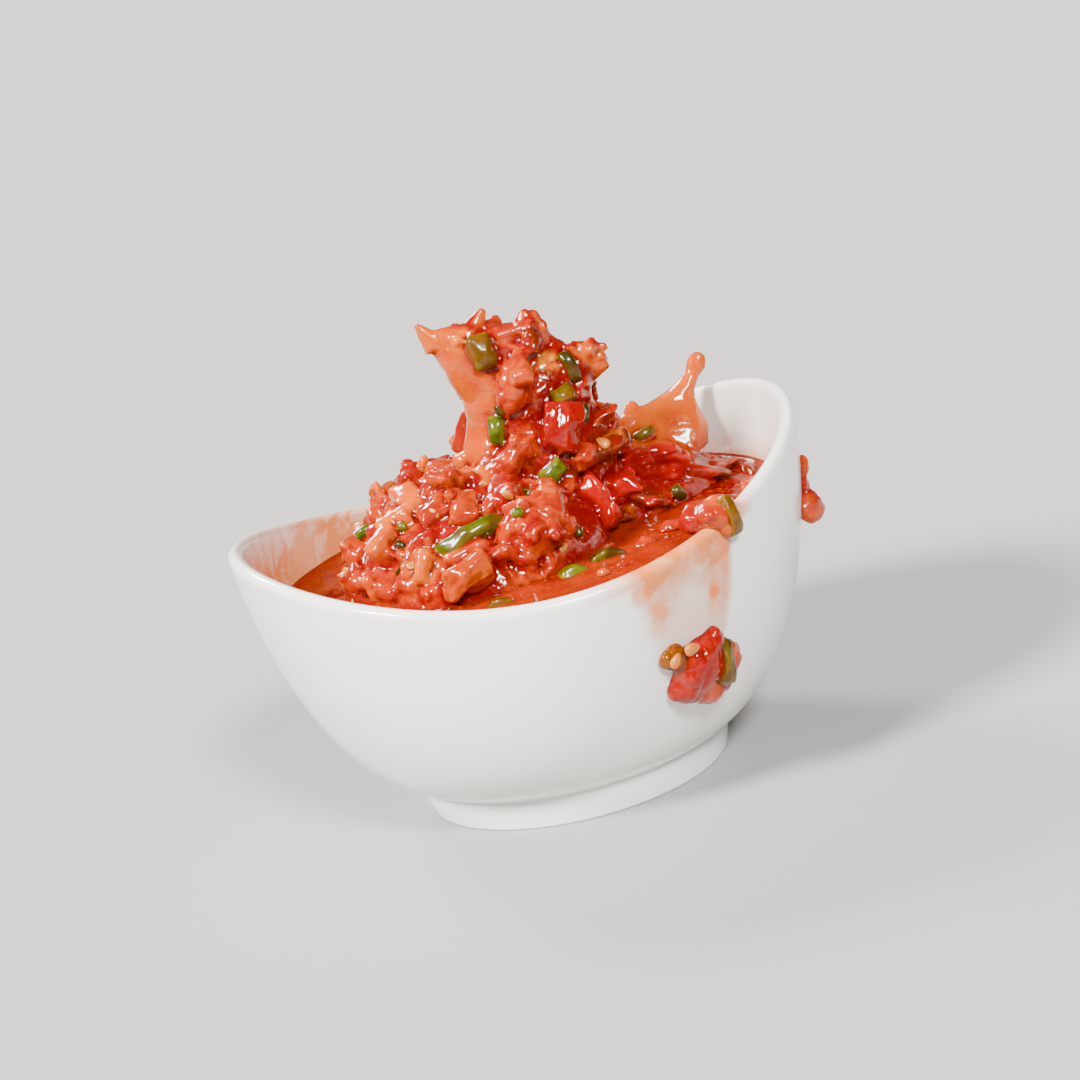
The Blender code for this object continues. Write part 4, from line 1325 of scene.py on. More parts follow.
@dataclass
class CutPiece:
    """One chopped piece: its cut, where it lies, its size and its tone."""

    cut: Cut
    spot: Vector
    axes: Axes
    size: Triple
    tone: Tone
    corners: list[Vector] = field(default_factory=list)

    @property
    def crisp(self) -> bool:
        """Whether it keeps edges of its own: pulp and thin strips melt into the heap."""
        return self.cut in (Cut.CUBE, Cut.WEDGE, Cut.PEPPER)

    def draw_corners(self, draw: random.Random, clear: bool = False) -> None:
        """Draw the corner points: rounded for pulp, blocky for what was cut.

        Args:
            draw: The source of the random sizes.
            clear: Whether they are kept clear of the sauce and the wall.
        """
        local = self.pulp_corners(draw) if self.cut is Cut.GEL else self.block_corners(draw)
        self.corners = [self.spot + self.axes[0] * a + self.axes[1] * b + self.axes[2] * c
                        for a, b, c in local]
        if clear:
            self.corners = [kept_clear(p) for p in self.corners]

    def pulp_corners(self, draw: random.Random) -> list[Triple]:
        """Corners of a rounded lump, along its length, width and thickness.

        Args:
            draw: The source of the random sizes.

        Returns:
            The corners.
        """
        length, width, thick = (0.5 * s for s in self.size)
        local = []
        for ring, count in enumerate((5, 6, 5), start=1):
            polar = math.pi * ring / 4.0
            for step in range(count):
                turn = 2.0 * math.pi * (step + draw.uniform(-0.25, 0.25)) / count
                puff = draw.uniform(0.85, 1.05)
                local.append((length * puff * math.sin(polar) * math.cos(turn),
                              width * puff * math.sin(polar) * math.sin(turn),
                              thick * puff * math.cos(polar) * 1.2))
        top = (draw.uniform(-0.3, 0.3) * length, draw.uniform(-0.3, 0.3) * width, thick * 1.2)
        return local + [top]

    def block_corners(self, draw: random.Random) -> list[Triple]:
        """Corners of an uneven cut block, along its length, width and thickness.

        Args:
            draw: The source of the random sizes.

        Returns:
            The corners.
        """
        length, width, thick = (0.5 * s for s in self.size)
        local = []
        for a, b, c in itertools.product((-1, 1), repeat=3):
            lean = TAPERS[self.cut] if c > 0 else 1.0
            along = a * length * draw.uniform(0.72, 1.0)
            local.append((along, b * width * lean * draw.uniform(0.75, 1.0), c * thick))
        for a in (-1, 1):
            local.append((a * length, draw.uniform(-0.4, 0.4) * width,
                          draw.uniform(-0.2, 0.3) * thick))
        local.append((draw.uniform(-0.3, 0.3) * length, 0.0, thick * 1.3))
        return local

    def rounded(self, remesher: Remesher, voxel: float, steps: int) -> Shell:
        """The piece as an even, softly rounded shell.

        Args:
            remesher: Rounds the body.
            voxel: Size of its squares.
            steps: How often it is smoothed.

        Returns:
            The shell.
        """
        return remesher.run(*hull_body(self.corners), voxel, steps)

    def dressed(self, remesher: Remesher, voxel: float) -> Shell:
        """The piece in fine mesh, a little warped, with its relief and its colour.

        Args:
            remesher: Rounds the body.
            voxel: Size of its squares.

        Returns:
            The shell, with the values tint and ridge.
        """
        made = self.rounded(remesher, voxel, SMOOTHINGS[self.cut])
        local = self.local(made.points)
        shift = self.spot * 3.0
        bend = -BENDS[self.cut] * self.size[0] * local[:, 0] ** 2
        thickness = np.array(tuple(self.axes[2]))
        moved = np.array([tuple(noise.noise_vector((Vector(p) + shift) / 4.5)) for p in made.points])
        made.points = made.points + moved * WARPS[self.cut] + (bend[:, None] + 0.05) * thickness
        bumps = self.relief(made.points, local)
        made.push(bumps)
        # How high each point stands on its relief; the finishes paint the crests paler as a painted
        # highlight.
        made.values["ridge"] = eased(bumps, np.percentile(bumps, 5), np.percentile(bumps, 98))
        made.values["tint"] = self.tint(made, local)
        return made

    def local(self, points: np.ndarray) -> np.ndarray:
        """The points as shares of the piece's half length, width and thickness."""
        axes = np.array([tuple(axis) for axis in self.axes])
        return (points - np.array(self.spot)) @ axes.T / (0.5 * np.array(self.size))

    def relief(self, points: np.ndarray, local: np.ndarray) -> np.ndarray:
        """How far the surface stands out at each point, in millimetres.

        Args:
            points: The points.
            local: The same as shares of the piece's half sizes.

        Returns:
            One distance for each point.
        """
        heights = np.empty(len(points))
        half = 0.5 * np.array(self.size)
        amount = RELIEFS[self.cut]
        for i, (p, abc) in enumerate(zip(points, local * half)):
            at = Vector(p) + self.spot * 3.0
            fibre = noise.noise(Vector((abc[0] / 5.0, abc[1] / 1.2, abc[2] / 1.2)) + self.spot)
            swell = noise.noise(at / 3.2)
            grain = noise.noise(at / 0.9)
            heights[i] = amount * (1.1 * fibre + 1.7 * swell + 0.5 * grain)
        return heights

    def tint(self, made: Shell, local: np.ndarray) -> np.ndarray:
        """Colour of the piece at each point.

        Flesh is paler towards its cut edges. A pepper's skin is on top, and its cut
        wall below that is paler and yellower.

        Args:
            made: The shell.
            local: Its points as shares of the piece's half sizes.

        Returns:
            One linear colour for each point.
        """
        base = np.array([drifted(self.tone, Vector(p) + self.spot * 2.0) for p in made.points])
        out = made.normals() @ np.array(tuple(self.axes[2]))
        if self.cut is Cut.PEPPER:
            wall = (1.0 - eased(out, 0.25, 0.7))[:, None] * 0.75
            return base * (1.0 - wall) + TONES[PEPPER_WALL[self.tone]] * wall
        edge = np.maximum(np.abs(local[:, 0]), np.abs(local[:, 1]))
        pale = (eased(edge, 0.8, 1.05) * eased(out, 0.0, 0.8) * 0.35)[:, None]
        return base * (1.0 - pale) + TONES[Tone.ORANGE] * pale


@dataclass
class SalsaHeap:
    """The chopped heap with its torn peak and splashed finger, wet with its juice.

    The pulp, the strips and the thick salsa between them melt into one skin. Flesh and
    pepper keep their edges and stand out of it.
    """

    mounds: tuple[Mound, ...] = (
        Mound((-10.0, 2.0, 50.0), (30.0, 33.0, 20.5), POCKET_FLOOR),
        Mound((18.0, 20.0, 50.0), (29.0, 24.0, 14.0), SECOND_POCKET_FLOOR),
    )
    peak: Splash = Splash((
        (100.6, -10.4, 1.5, 4.0, 1.7),
        (98.3, -10.2, 12.5, 4.2, 3.4),
        (95.5, -8.8, 14.4, 4.5, 4.8),
        (92.0, -8.0, 16.4, 4.8, 6.0),
        (89.0, -7.4, 20.0, 5.0, 7.0),
        (85.0, -5.2, 22.4, 5.5, 8.3),
        (80.5, -5.6, 22.0, 6.0, 9.8),
        (76.5, -6.8, 21.9, 6.6, 11.0),
        (73.0, -9.0, 24.0, 7.2, 12.2),
        (67.0, -9.5, 25.0, 8.0, 14.0),
        (60.0, -10.0, 26.0, 9.0, 15.0),
    ))
    finger: Splash = Splash((
        (76.8, 45.5, 48.0, 32.6, 0.9),
        (75.6, 44.4, 48.6, 32.3, 1.3),
        (73.4, 43.6, 48.3, 32.0, 1.5),
        (72.3, 41.8, 47.0, 31.8, 1.7),
        (70.8, 39.2, 45.8, 31.2, 2.1),
        (69.2, 36.0, 44.8, 30.6, 2.6),
        (67.8, 26.5, 44.6, 30.0, 3.0),
        (65.5, 23.5, 44.8, 28.4, 3.8),
        (62.0, 22.0, 45.6, 27.2, 4.8),
        (58.0, 21.0, 44.6, 26.0, 6.0),
    ))
    horns: tuple[Horn, ...] = (
        Horn((-8.2, 4.0, 97.5), 3.2, 2.4, (-11.6, 3.6, 103.4), 0.7, 0.6),
        Horn((-0.5, 4.0, 98.0), 4.0, 2.6, (3.0, 4.4, 103.2), 0.8, 0.6),
        Horn((10.6, 4.2, 95.5), 4.4, 3.0, (11.4, 3.6, 101.2), 0.9, 0.7),
        Horn((19.0, 5.0, 86.5), 5.0, 3.0, (26.8, 4.0, 89.3), 0.9, 0.8),
        Horn((20.5, 5.0, 84.6), 3.4, 2.8, (26.6, 4.4, 85.4), 1.2, 1.0),
        Horn((29.4, 29.6, 66.0), 3.0, 2.0, (30.6, 30.6, 70.2), 0.9, 0.7),
    )
    bare_places: tuple[tuple[Triple, float], ...] = (
        ((-6.0, -2.0, 87.0), 8.0),
        ((-8.0, 1.0, 97.0), 6.0),
        ((-8.0, 3.0, 78.0), 8.5),
        ((37.0, 26.0, 68.0), 12.0),
    )
    fill_pieces: int = 150
    fill_spacing: float = 4.5
    fill_from: float = 54.0
    fill_to: float = 88.0
    fill_middle: Triple = (2.0, 8.0, 0.0)
    fill_crowding: float = 2.2
    fill_fall: float = 0.45
    fill_room: float = 0.3
    fill_cuts: tuple[str, ...] = ("gel", "wedge", "cube", "strip")
    fill_sizes: tuple[tuple[float, float], ...] = ((8.0, 13.0), (6.0, 9.0), (4.0, 6.0))
    listed_room: float = 0.33
    peak_from: float = 76.0
    peak_share: float = 0.68
    piece_seed: int = 11
    tone_seed: int = 23
    bits: int = 150
    green_bits: int = 16
    seeds: int = 26
    bit_seed: int = 31
    finer: int = 3
    rough_voxel: float = 1.0
    rough_steps: int = 3
    lump_voxel: float = 0.8
    lump_steps: int = 5
    voxel: float = 0.45
    skin_voxel: float = 0.5
    skin_steps: int = 4
    lobe_size: float = 4.6
    bead_size: float = 1.9
    seam_depth: float = 0.45
    broad_steps: int = 26
    fine_steps: int = 5
    thin_from: float = 62.0
    thickest: float = 50.0

    def core(self, finer: int) -> Body:
        """Points and faces of the bare mounds, peak, finger and horns.

        Args:
            finer: How many times finer than the solid part's core it is.

        Returns:
            The points, and the corners of each face.
        """
        bodies = [closed_faces(*body.rows(finer)) for body in (*self.mounds, self.peak, self.finger)]
        bodies += [hull_body(horn.points()) for horn in self.horns]
        return gathered(bodies)

    def listed(self, tree: BVHTree, draw: random.Random) -> list[CutPiece]:
        """The pieces that show on the front of the heap.

        Args:
            tree: Search tree of the bare core.
            draw: The source of the random sizes.

        Returns:
            The pieces.
        """
        pieces = []
        for cut, u, w, length, width, thick, spin, tone in HEAP_PIECES:
            goal = Vector((u, 0.0, w))
            way = (goal - EYE).normalized()
            spot, out, _, _ = tree.ray_cast(EYE, way)
            if spot is None:
                spot, out, _, _ = tree.find_nearest(goal + way * NEAR_MISS_DEPTH)
            shift = Vector([draw.uniform(-UNEVENNESS, UNEVENNESS) for _ in range(3)])
            out = (out + (EYE - spot).normalized() * FACING + shift).normalized()
            spot = spot + out * STAND_OUT * thick
            piece = CutPiece(cut, spot, surface_axes(out, spin), (length, width, thick), tone)
            piece.draw_corners(draw, clear=True)
            pieces.append(piece)
        return pieces

    def fill(self, tree: BVHTree, listed: Sequence[CutPiece], draw: random.Random) -> list[CutPiece]:
        """Smaller pieces on a spiral round the heap, where no listed piece lies.

        Args:
            tree: Search tree of the bare core.
            listed: The pieces that lie there already.
            draw: The source of the random sizes.

        Returns:
            The pieces.
        """
        tones = random.Random(self.tone_seed)
        places = [(piece.spot, self.listed_room * piece.size[0]) for piece in listed]
        places += [(Vector(place), room) for place, room in self.bare_places]
        pieces = []
        for number in range(self.fill_pieces):
            share = (number + 0.5) / self.fill_pieces
            turn = number * GOLDEN_TURN
            height = self.fill_from + (self.fill_to - self.fill_from) * share ** self.fill_crowding
            way = Vector((-math.cos(turn), -math.sin(turn), -self.fill_fall)).normalized()
            start = Vector(self.fill_middle) + UP * height - way * 2.0 * CURVE.radius
            spot, out, _, _ = tree.ray_cast(start, way)
            if spot is None:
                continue
            if any((spot - other).length < room + self.fill_spacing / 2.0 for other, room in places):
                continue
            scale = self.peak_share if spot.z > self.peak_from else 1.0
            size = tuple(scale * draw.uniform(*limits) for limits in self.fill_sizes)
            cut = Cut(draw.choice(self.fill_cuts))
            axes = surface_axes(out, draw.uniform(0.0, 180.0))
            piece = CutPiece(cut, spot, axes, size, tones.choice(tones_at(spot)))
            piece.draw_corners(draw, clear=True)
            pieces.append(piece)
            places.append((spot, self.fill_room * size[0]))
        return pieces

    def skin(self, remesher: Remesher, core: Body, pulp: Sequence[CutPiece],
             crisp: Sequence[Shell]) -> Shell:
        """The skin over the thick salsa, the pulp and the strips, with relief and colour.

        Args:
            remesher: Rounds and joins the bodies.
            core: The bare core.
            pulp: The pieces that melt into the skin.
            crisp: Shells of the pieces that stand out of it.

        Returns:
            The shell, with the values tint, ridge, depth and thin.
        """
        lumps = [piece.rounded(remesher, self.lump_voxel, self.lump_steps) for piece in pulp]
        lump_bodies = [(shell.points.tolist(), shell.faces.tolist()) for shell in lumps]
        crisp_bodies = [(shell.points.tolist(), shell.faces.tolist()) for shell in crisp]
        skin = remesher.run(*gathered([core] + lump_bodies + crisp_bodies), self.skin_voxel,
                            self.skin_steps)
        log.info("skin joined from %d lumps: %d faces", len(lumps), len(skin.faces))
        owners = np.repeat(np.arange(len(lumps)), [len(shell.faces) for shell in lumps])
        lump_tree = BVHTree.FromPolygons(*gathered(lump_bodies))
        crisp_tree = BVHTree.FromPolygons(*gathered(crisp_bodies))
        skin.values["tint"], gel = self.skin_tones(skin, pulp, owners, lump_tree)
        near_crisp = np.array([crisp_tree.find_nearest(p)[3] for p in skin.points.tolist()])
        sunk = self.seam_depth * (1.0 - eased(near_crisp, 0.3, 1.6))
        bumps = self.pulp_relief(skin, gel)
        broad = eased(skin.hollows(self.broad_steps), 0.05, 0.75)
        skin.push(bumps - sunk)
        fine = eased(skin.hollows(self.fine_steps), 0.02, 0.18)
        # How high each point stands on the relief; the finish paints the crests paler as a painted
        # highlight.
        skin.values["ridge"] = eased(bumps, np.percentile(bumps, 20), np.percentile(bumps, 99))
        # The finish paints the hollows darker red: partly juice pooled there, partly painted shade.
        skin.values["depth"] = np.clip(broad + 0.7 * fine, 0.0, 1.0)
        # The pulp's finish paints thin parts orange, as a painted glow of light through them.
        skin.values["thin"] = 1.0 - eased(self.thickness(skin), 3.0, 10.0)
        return skin

    def skin_tones(self, skin: Shell, pulp: Sequence[CutPiece], owners: np.ndarray,
                   tree: BVHTree) -> tuple[np.ndarray, np.ndarray]:
        """Colour of the skin, and how much of it is pulp, at each point.

        Args:
            skin: The shell.
            pulp: The pieces that melt into it.
            owners: Number of the piece of each face of the search tree.
            tree: Search tree of the pieces.

        Returns:
            One linear colour and one share of pulp for each point.
        """
        tint = np.empty((len(skin.points), 4))
        gel = np.empty(len(skin.points))
        for i, point in enumerate(skin.points.tolist()):
            at = Vector(point)
            asked = at + noise.noise_vector(at / 2.5) * 0.9
            _, _, face, distance = tree.find_nearest(asked)
            piece = pulp[owners[face]]
            away = float(eased(distance, 0.5, 2.2))
            clear = max(1.0 - float(eased((at - Vector(place)).length, 0.7 * room, 1.2 * room))
                        for place, room in self.bare_places)
            tint[i] = drifted(piece.tone, at) * (1.0 - away) + juice_tone(at) * away
            tint[i] += (drifted(Tone.APRICOT, at) - tint[i]) * 0.75 * clear
            gel[i] = (1.0 if piece.cut is Cut.GEL else 0.35) * (1.0 - away) + 0.22 * away
            gel[i] *= 1.0 - 0.75 * clear
        return skin.averaged(tint, 2), skin.averaged(gel[:, None], 3)[:, 0]

    def pulp_relief(self, skin: Shell, gel: np.ndarray) -> np.ndarray:
        """How far the skin stands out at each point: soft lobes with beads on them.

        Args:
            skin: The shell.
            gel: Its share of pulp at each point.

        Returns:
            One distance for each point, in millimetres.
        """
        heights = np.empty(len(skin.points))
        for i, point in enumerate(skin.points.tolist()):
            at = Vector(point)
            warped = at + noise.noise_vector(at / 5.0) * 1.6
            lobe = dome(warped, self.lobe_size) - 0.5
            bead = dome(warped, self.bead_size) - 0.5
            patch = 0.5 + 0.5 * noise.noise(at / 6.0 + Vector((7.0, 3.0, 1.0)))
            grain = noise.noise(at)
            heights[i] = gel[i] * (0.75 * lobe + 0.36 * bead * (0.4 + patch)) + 0.09 * grain
        return heights

    def thickness(self, skin: Shell) -> np.ndarray:
        """Thickness of the salsa behind each point of the skin, in millimetres.

        Args:
            skin: The shell.

        Returns:
            One thickness for each point.
        """
        tree = skin.tree()
        result = np.full(len(skin.points), self.thickest)
        for i, (point, out) in enumerate(zip(skin.points.tolist(), skin.normals().tolist())):
            if point[2] < self.thin_from:
                continue
            inward = -Vector(out)
            hit = tree.ray_cast(Vector(point) + inward * 0.4, inward)
            if hit[0] is not None:
                result[i] = hit[3]
        return skin.averaged(result[:, None], 4)[:, 0]

    def build(self, finishes: Finishes, remesher: Remesher) -> BVHTree:
        """Make the heap.

        Args:
            finishes: The finishes by name.
            remesher: Rounds and joins the bodies.

        Returns:
            Search tree of the skin.
        """
        tree = BVHTree.FromPolygons(*self.core(1))
        draw = random.Random(self.piece_seed)
        pieces = self.listed(tree, draw)
        pieces += self.fill(tree, pieces, draw)
        core = self.core(self.finer)
        bodies = [core] + [hull_body(piece.corners) for piece in pieces]
        rough = remesher.run(*gathered(bodies), self.rough_voxel, self.rough_steps)
        taken = [(piece.spot, 0.5 * piece.size[0] + 1.0) for piece in pieces[:len(HEAP_PIECES)]
                 if piece.crisp]
        taken += [(Vector(place), room) for place, room in self.bare_places]
        scatter = Scatter(rough, random.Random(self.bit_seed), taken)
        bits = scatter.bits(self.bits, PULP_BITS)
        greens = scatter.bits(self.green_bits, GREEN_BITS)
        crisp = [(piece, piece.dressed(remesher, self.voxel)) for piece in pieces + greens
                 if piece.crisp]
        pulp = [piece for piece in pieces + bits if not piece.crisp]
        skin = self.skin(remesher, core, pulp, [shell for _, shell in crisp])
        skin_tree = skin.tree()
        self.add(new_object("thick_salsa", skin, finishes["pulp"], CONTENTS_TURN))
        groups: dict[str, list[Shell]] = {"tomato_flesh": [], "green_chilli": []}
        for piece, shell in crisp:
            shell.values["depth"] = sunk_depth(shell, skin_tree)
            groups["green_chilli" if piece.cut is Cut.PEPPER else "tomato_flesh"].append(shell)
        for name, members in groups.items():
            batch = new_object(name, joined(members), finishes[name], CONTENTS_TURN)
            self.add(batch)
            log.info("%s: %d pieces, %d faces", name, len(members), len(batch.data.polygons))
        seeds = Scatter(skin, random.Random(self.bit_seed + 1), taken).seeds(self.seeds)
        self.add(new_object("tomato_seeds", seeds, finishes["seed"], CONTENTS_TURN))
        return skin_tree

    def add(self, thing: Object) -> None:
        """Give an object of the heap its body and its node.

        Args:
            thing: The object.
        """
        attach(thing, "root")
        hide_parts("salsa")


def tones_at(spot: Vector) -> tuple[Tone, ...]:
    """Tones met at a place: pale and orange on the left, dark red on the right.

    Args:
        spot: The place.

    Returns:
        The tones.
    """
    if spot.x < LEFT_EDGE:
        return LEFT_TONES
    return RIGHT_TONES if spot.x > RIGHT_EDGE else MIDDLE_TONES


def juice_tone(at: Vector) -> np.ndarray:
    """Colour of the thick juice between the lumps at a place.

    Args:
        at: The place.

    Returns:
        The linear colour.
    """
    share = float(eased(at.x, -22.0, 20.0))
    left = 0.6 * TONES[Tone.CORAL] + 0.4 * TONES[Tone.SCARLET]
    right = 0.75 * TONES[Tone.CRIMSON] + 0.25 * TONES[Tone.SCARLET]
    return left * (1.0 - share) + right * share


def sunk_depth(shell: Shell, skin: BVHTree) -> np.ndarray:
    """How deep each point of a shell lies in the skin, from 0 to 1.

    Args:
        shell: The shell.
        skin: Search tree of the skin.

    Returns:
        One depth for each point.
    """
    # The finish paints the sunk part darker: partly juice wetting it, partly painted shade.
    depth = np.empty(len(shell.points))
    for i, point in enumerate(shell.points.tolist()):
        at = Vector(point)
        near, out, _, _ = skin.find_nearest(at)
        depth[i] = (at - near).dot(out)
    return 1.0 - eased(depth, -0.2, 1.1)


# Half the length, width and thickness of a common tomato seed, and how much narrower
# it is at one end.
SEED_HALVES = (1.55, 1.05, 0.5)
SEED_NARROWING = 0.32
SEED_RINGS = 9
SEED_SIDES = 12


def seed_shell(spot: Vector, axes: Axes, scale: float) -> Shell:
    """A flat teardrop seed.

    Args:
        spot: Its middle.
        axes: Its length, width and thickness directions.
        scale: Its size as a share of a common seed's, which is 3.1 mm long.

    Returns:
        The seed.
    """
    length, width, thick = axes
    half_length, half_width, half_thick = SEED_HALVES
    rows = []
    for ring in range(1, SEED_RINGS):
        polar = math.pi * ring / SEED_RINGS
        along = half_length * scale * math.cos(polar)
        wide = math.sin(polar) * (1.0 - SEED_NARROWING * math.cos(polar)) * scale
        row = []
        for turn in turns_round(SEED_SIDES):
            row.append(spot + length * along + width * half_width * wide * math.cos(turn)
                       + thick * half_thick * wide * math.sin(turn))
        rows.append(row)
    tip = length * half_length * scale
    points, faces = closed_faces(rows, (spot + tip, spot - tip))
    return Shell(np.array([tuple(p) for p in points]), np.array(faces))


@dataclass(frozen=True)
class BitKind:
    """A kind of small chopped bit: its cuts, its tones and its ranges of size.

    Without tones of its own it takes those met at its place.
    """

    cuts: tuple[Cut, ...]
    tones: Optional[tuple[Tone, ...]]
    lengths: tuple[float, float]
    widths: tuple[float, float]
    thicknesses: tuple[float, float]


PULP_BITS = BitKind((Cut.GEL, Cut.GEL, Cut.GEL, Cut.STRIP), None, (3.6, 9.0), (2.8, 6.0), (2.2, 4.4))
GREEN_BITS = BitKind((Cut.PEPPER,), (Tone.LEAF, Tone.OLIVE, Tone.OLIVE, Tone.MOSS),
                     (2.4, 4.6), (1.8, 2.8), (1.4, 2.2))


@dataclass
class Scatter:
    """Places small things at random over a surface, half sunk in it."""

    surface: Shell
    draw: random.Random
    taken: Sequence[tuple[Vector, float]] = ()
    lowest: float = 0.8
    highest: float = 99.0

    def __post_init__(self) -> None:
        """Sum the faces' areas, so that places can be drawn evenly."""
        corners = self.surface.points[self.surface.faces]
        flat = np.cross(corners[:, 2] - corners[:, 0], corners[:, 3] - corners[:, 1])
        areas = np.linalg.norm(flat, axis=1)
        self.sums = np.cumsum(areas)
        self.middles = corners.mean(axis=1)
        self.outs = flat / np.maximum(areas, 1e-9)[:, None]

    def place(self) -> tuple[Vector, Vector]:
        """A random free place on the surface above the sauce, and the direction out of it.

        Returns:
            The place and the direction.
        """
        while True:
            face = int(np.searchsorted(self.sums, self.draw.uniform(0.0, self.sums[-1])))
            spot, out = Vector(self.middles[face]), Vector(self.outs[face])
            if any((spot - place).length < room for place, room in self.taken):
                continue
            if sauce_level(spot.x) + self.lowest < spot.z < self.highest and out.z > -0.4:
                return spot, out

    def bits(self, count: int, kind: BitKind) -> list[CutPiece]:
        """Small chopped bits.

        Args:
            count: How many.
            kind: What they are.

        Returns:
            The bits.
        """
        made: list[CutPiece] = []
        for _ in range(count):
            spot, out = self.place()
            ranges = (kind.lengths, kind.widths, kind.thicknesses)
            size = tuple(self.draw.uniform(*limits) for limits in ranges)
            axes = surface_axes(out, self.draw.uniform(0.0, 180.0))
            tone = self.draw.choice(kind.tones or tones_at(spot))
            bit = CutPiece(self.draw.choice(kind.cuts), spot, axes, size, tone)
            bit.draw_corners(self.draw, clear=True)
            made.append(bit)
        return made

    def seeds(self, count: int) -> Shell:
        """Flat teardrop seeds, lying on the surface.

        Args:
            count: How many.

        Returns:
            All of them in one shell.
        """
        made = []
        for _ in range(count):
            spot, out = self.place()
            lean = Vector([self.draw.uniform(-0.35, 0.35) for _ in range(3)])
            axes = surface_axes((out + lean).normalized(), self.draw.uniform(0.0, 360.0))
            made.append(seed_shell(spot, axes, self.draw.uniform(0.85, 1.15)))
        return joined(made)


@dataclass
class LooseSauce:
    """The juice up to its level, with fine pulp, sunk pieces and a wetted edge."""

    segments: int = 300
    rings: int = 76
    deep_rings: int = 12
    deep_crowding: float = 2.2
    wall_gap: float = 0.3
    ripple: float = 0.45
    piece_seed: int = 5
    voxel: float = 0.4

    def depth_at(self, at: Vector, heap_distance: float) -> float:
        """How deep and red the juice is at a place, from 0 to 1.

        It is clearest against the heap and on the right, and cloudy along the front.

        Args:
            at: The place.
            heap_distance: How far the heap is from it.

        Returns:
            The depth.
        """
        right = float(eased(at.x, 18.0, 44.0))
        left = float(eased(-at.x, 28.0, 46.0))
        near = math.exp(-heap_distance / 3.0)
        cloud = noise.noise(Vector((at.x / 8.0, at.y / 5.0, 3.0)))
        return min(max(0.16 + 0.5 * right + 0.25 * left + 0.45 * near + 0.55 * cloud, 0.0), 1.0)

    def floating(self) -> list[CutPiece]:
        """The pieces that stand out of the sauce.

        Returns:
            The pieces.
        """
        draw = random.Random(self.piece_seed)
        pieces = []
        for cut, x, y, length, width, height, spin, tone in SAUCE_PIECES:
            axes = surface_axes(UP, spin)
            piece = CutPiece(cut, Vector((x, y, sauce_level(x))), axes, (length, width, height), tone)
            piece.draw_corners(draw)
            pieces.append(piece)
        return pieces

    def body(self, heap: BVHTree) -> Shell:
        """The juice from the bowl's floor up its wall and over its level to the middle.

        It rises a little against the wall and against the heap.

        Args:
            heap: Search tree of the heap's skin.

        Returns:
            The shell, with the value depth.
        """
        rows = []
        depth = []
        for turn in turns_round(self.segments):
            lip = CURVE.lip(turn + CONTENTS_TURN)
            top = SAUCE_LEVEL
            for _ in range(3):
                edge = CURVE.inner(top, lip) + 0.1
                top = sauce_level(edge * math.cos(turn))
            row = []
            for ring in range(self.deep_rings):
                share = (ring / self.deep_rings) ** self.deep_crowding
                height = CURVE.floor_height + (top - CURVE.floor_height) * share
                radius = CURVE.inner(height, lip) - self.wall_gap
                row.append((radius * math.cos(turn), radius * math.sin(turn), height + self.wall_gap))
                depth.append(1.0)
            for ring in range(self.rings):
                radius = edge * (1.0 - ring / self.rings)
                x, y = radius * math.cos(turn), radius * math.sin(turn)
                at = Vector((x, y, sauce_level(x)))
                away = edge - radius
                heap_distance = heap.find_nearest(at)[3]
                bank = 0.7 * math.exp(-heap_distance / 1.3)
                rise = 0.9 * math.exp(-away / 0.9) + bank
                wave = noise.noise(at / 7.0) * self.ripple + noise.noise(at / 2.6) * self.ripple * 0.45
                row.append((x, y, at.z + rise + wave * min(away / 3.0, 1.0)))
                depth.append(self.depth_at(at, heap_distance))
            rows.append(row)
        return Shell(np.array(rows).reshape(-1, 3), turned_faces(self.segments, len(rows[0])),
                     {"depth": np.array(depth)})

    def build(self, finishes: Finishes, heap: BVHTree, remesher: Remesher) -> None:
        """Make the sauce and the pieces that stand out of it.

        Args:
            finishes: The finishes by name.
            heap: Search tree of the heap's skin.
            remesher: Rounds the pieces.
        """
        self.add(new_object("loose_sauce", self.body(heap), finishes["sauce"], CONTENTS_TURN))
        groups: dict[str, list[Shell]] = {"floating_chilli": [], "floating_pulp": []}
        for piece in self.floating():
            made = piece.dressed(remesher, self.voxel)
            above = made.points[:, 2] - sauce_level(made.points[:, 0])
            # Painted darker just above the sauce's level: partly wet with juice, partly painted shade.
            made.values["depth"] = 1.0 - eased(above, -0.3, 1.2)
            groups["floating_chilli" if piece.cut is Cut.PEPPER else "floating_pulp"].append(made)
        for name, finish in (("floating_chilli", "green_chilli"), ("floating_pulp", "tomato_flesh")):
            self.add(new_object(name, joined(groups[name]), finishes[finish], CONTENTS_TURN))

    def add(self, thing: Object) -> None:
        """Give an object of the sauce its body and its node.

        Args:
            thing: The object.
        """
        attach(thing, "root")
        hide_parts("sauce")


def on_wall(turn: float, height: float, proud: float) -> tuple[Vector, Vector]:
    """A place beside the outer wall, and the level direction out of it.

    Args:
        turn: Turn about the bowl, in degrees.
        height: Height of the place.
        proud: How far out of the wall it lies.

    Returns:
        The place and the direction.
    """
    out = Vector((math.cos(math.radians(turn)), math.sin(math.radians(turn)), 0.0))
    return out * (CURVE.outer(height) + proud) + UP * height, out


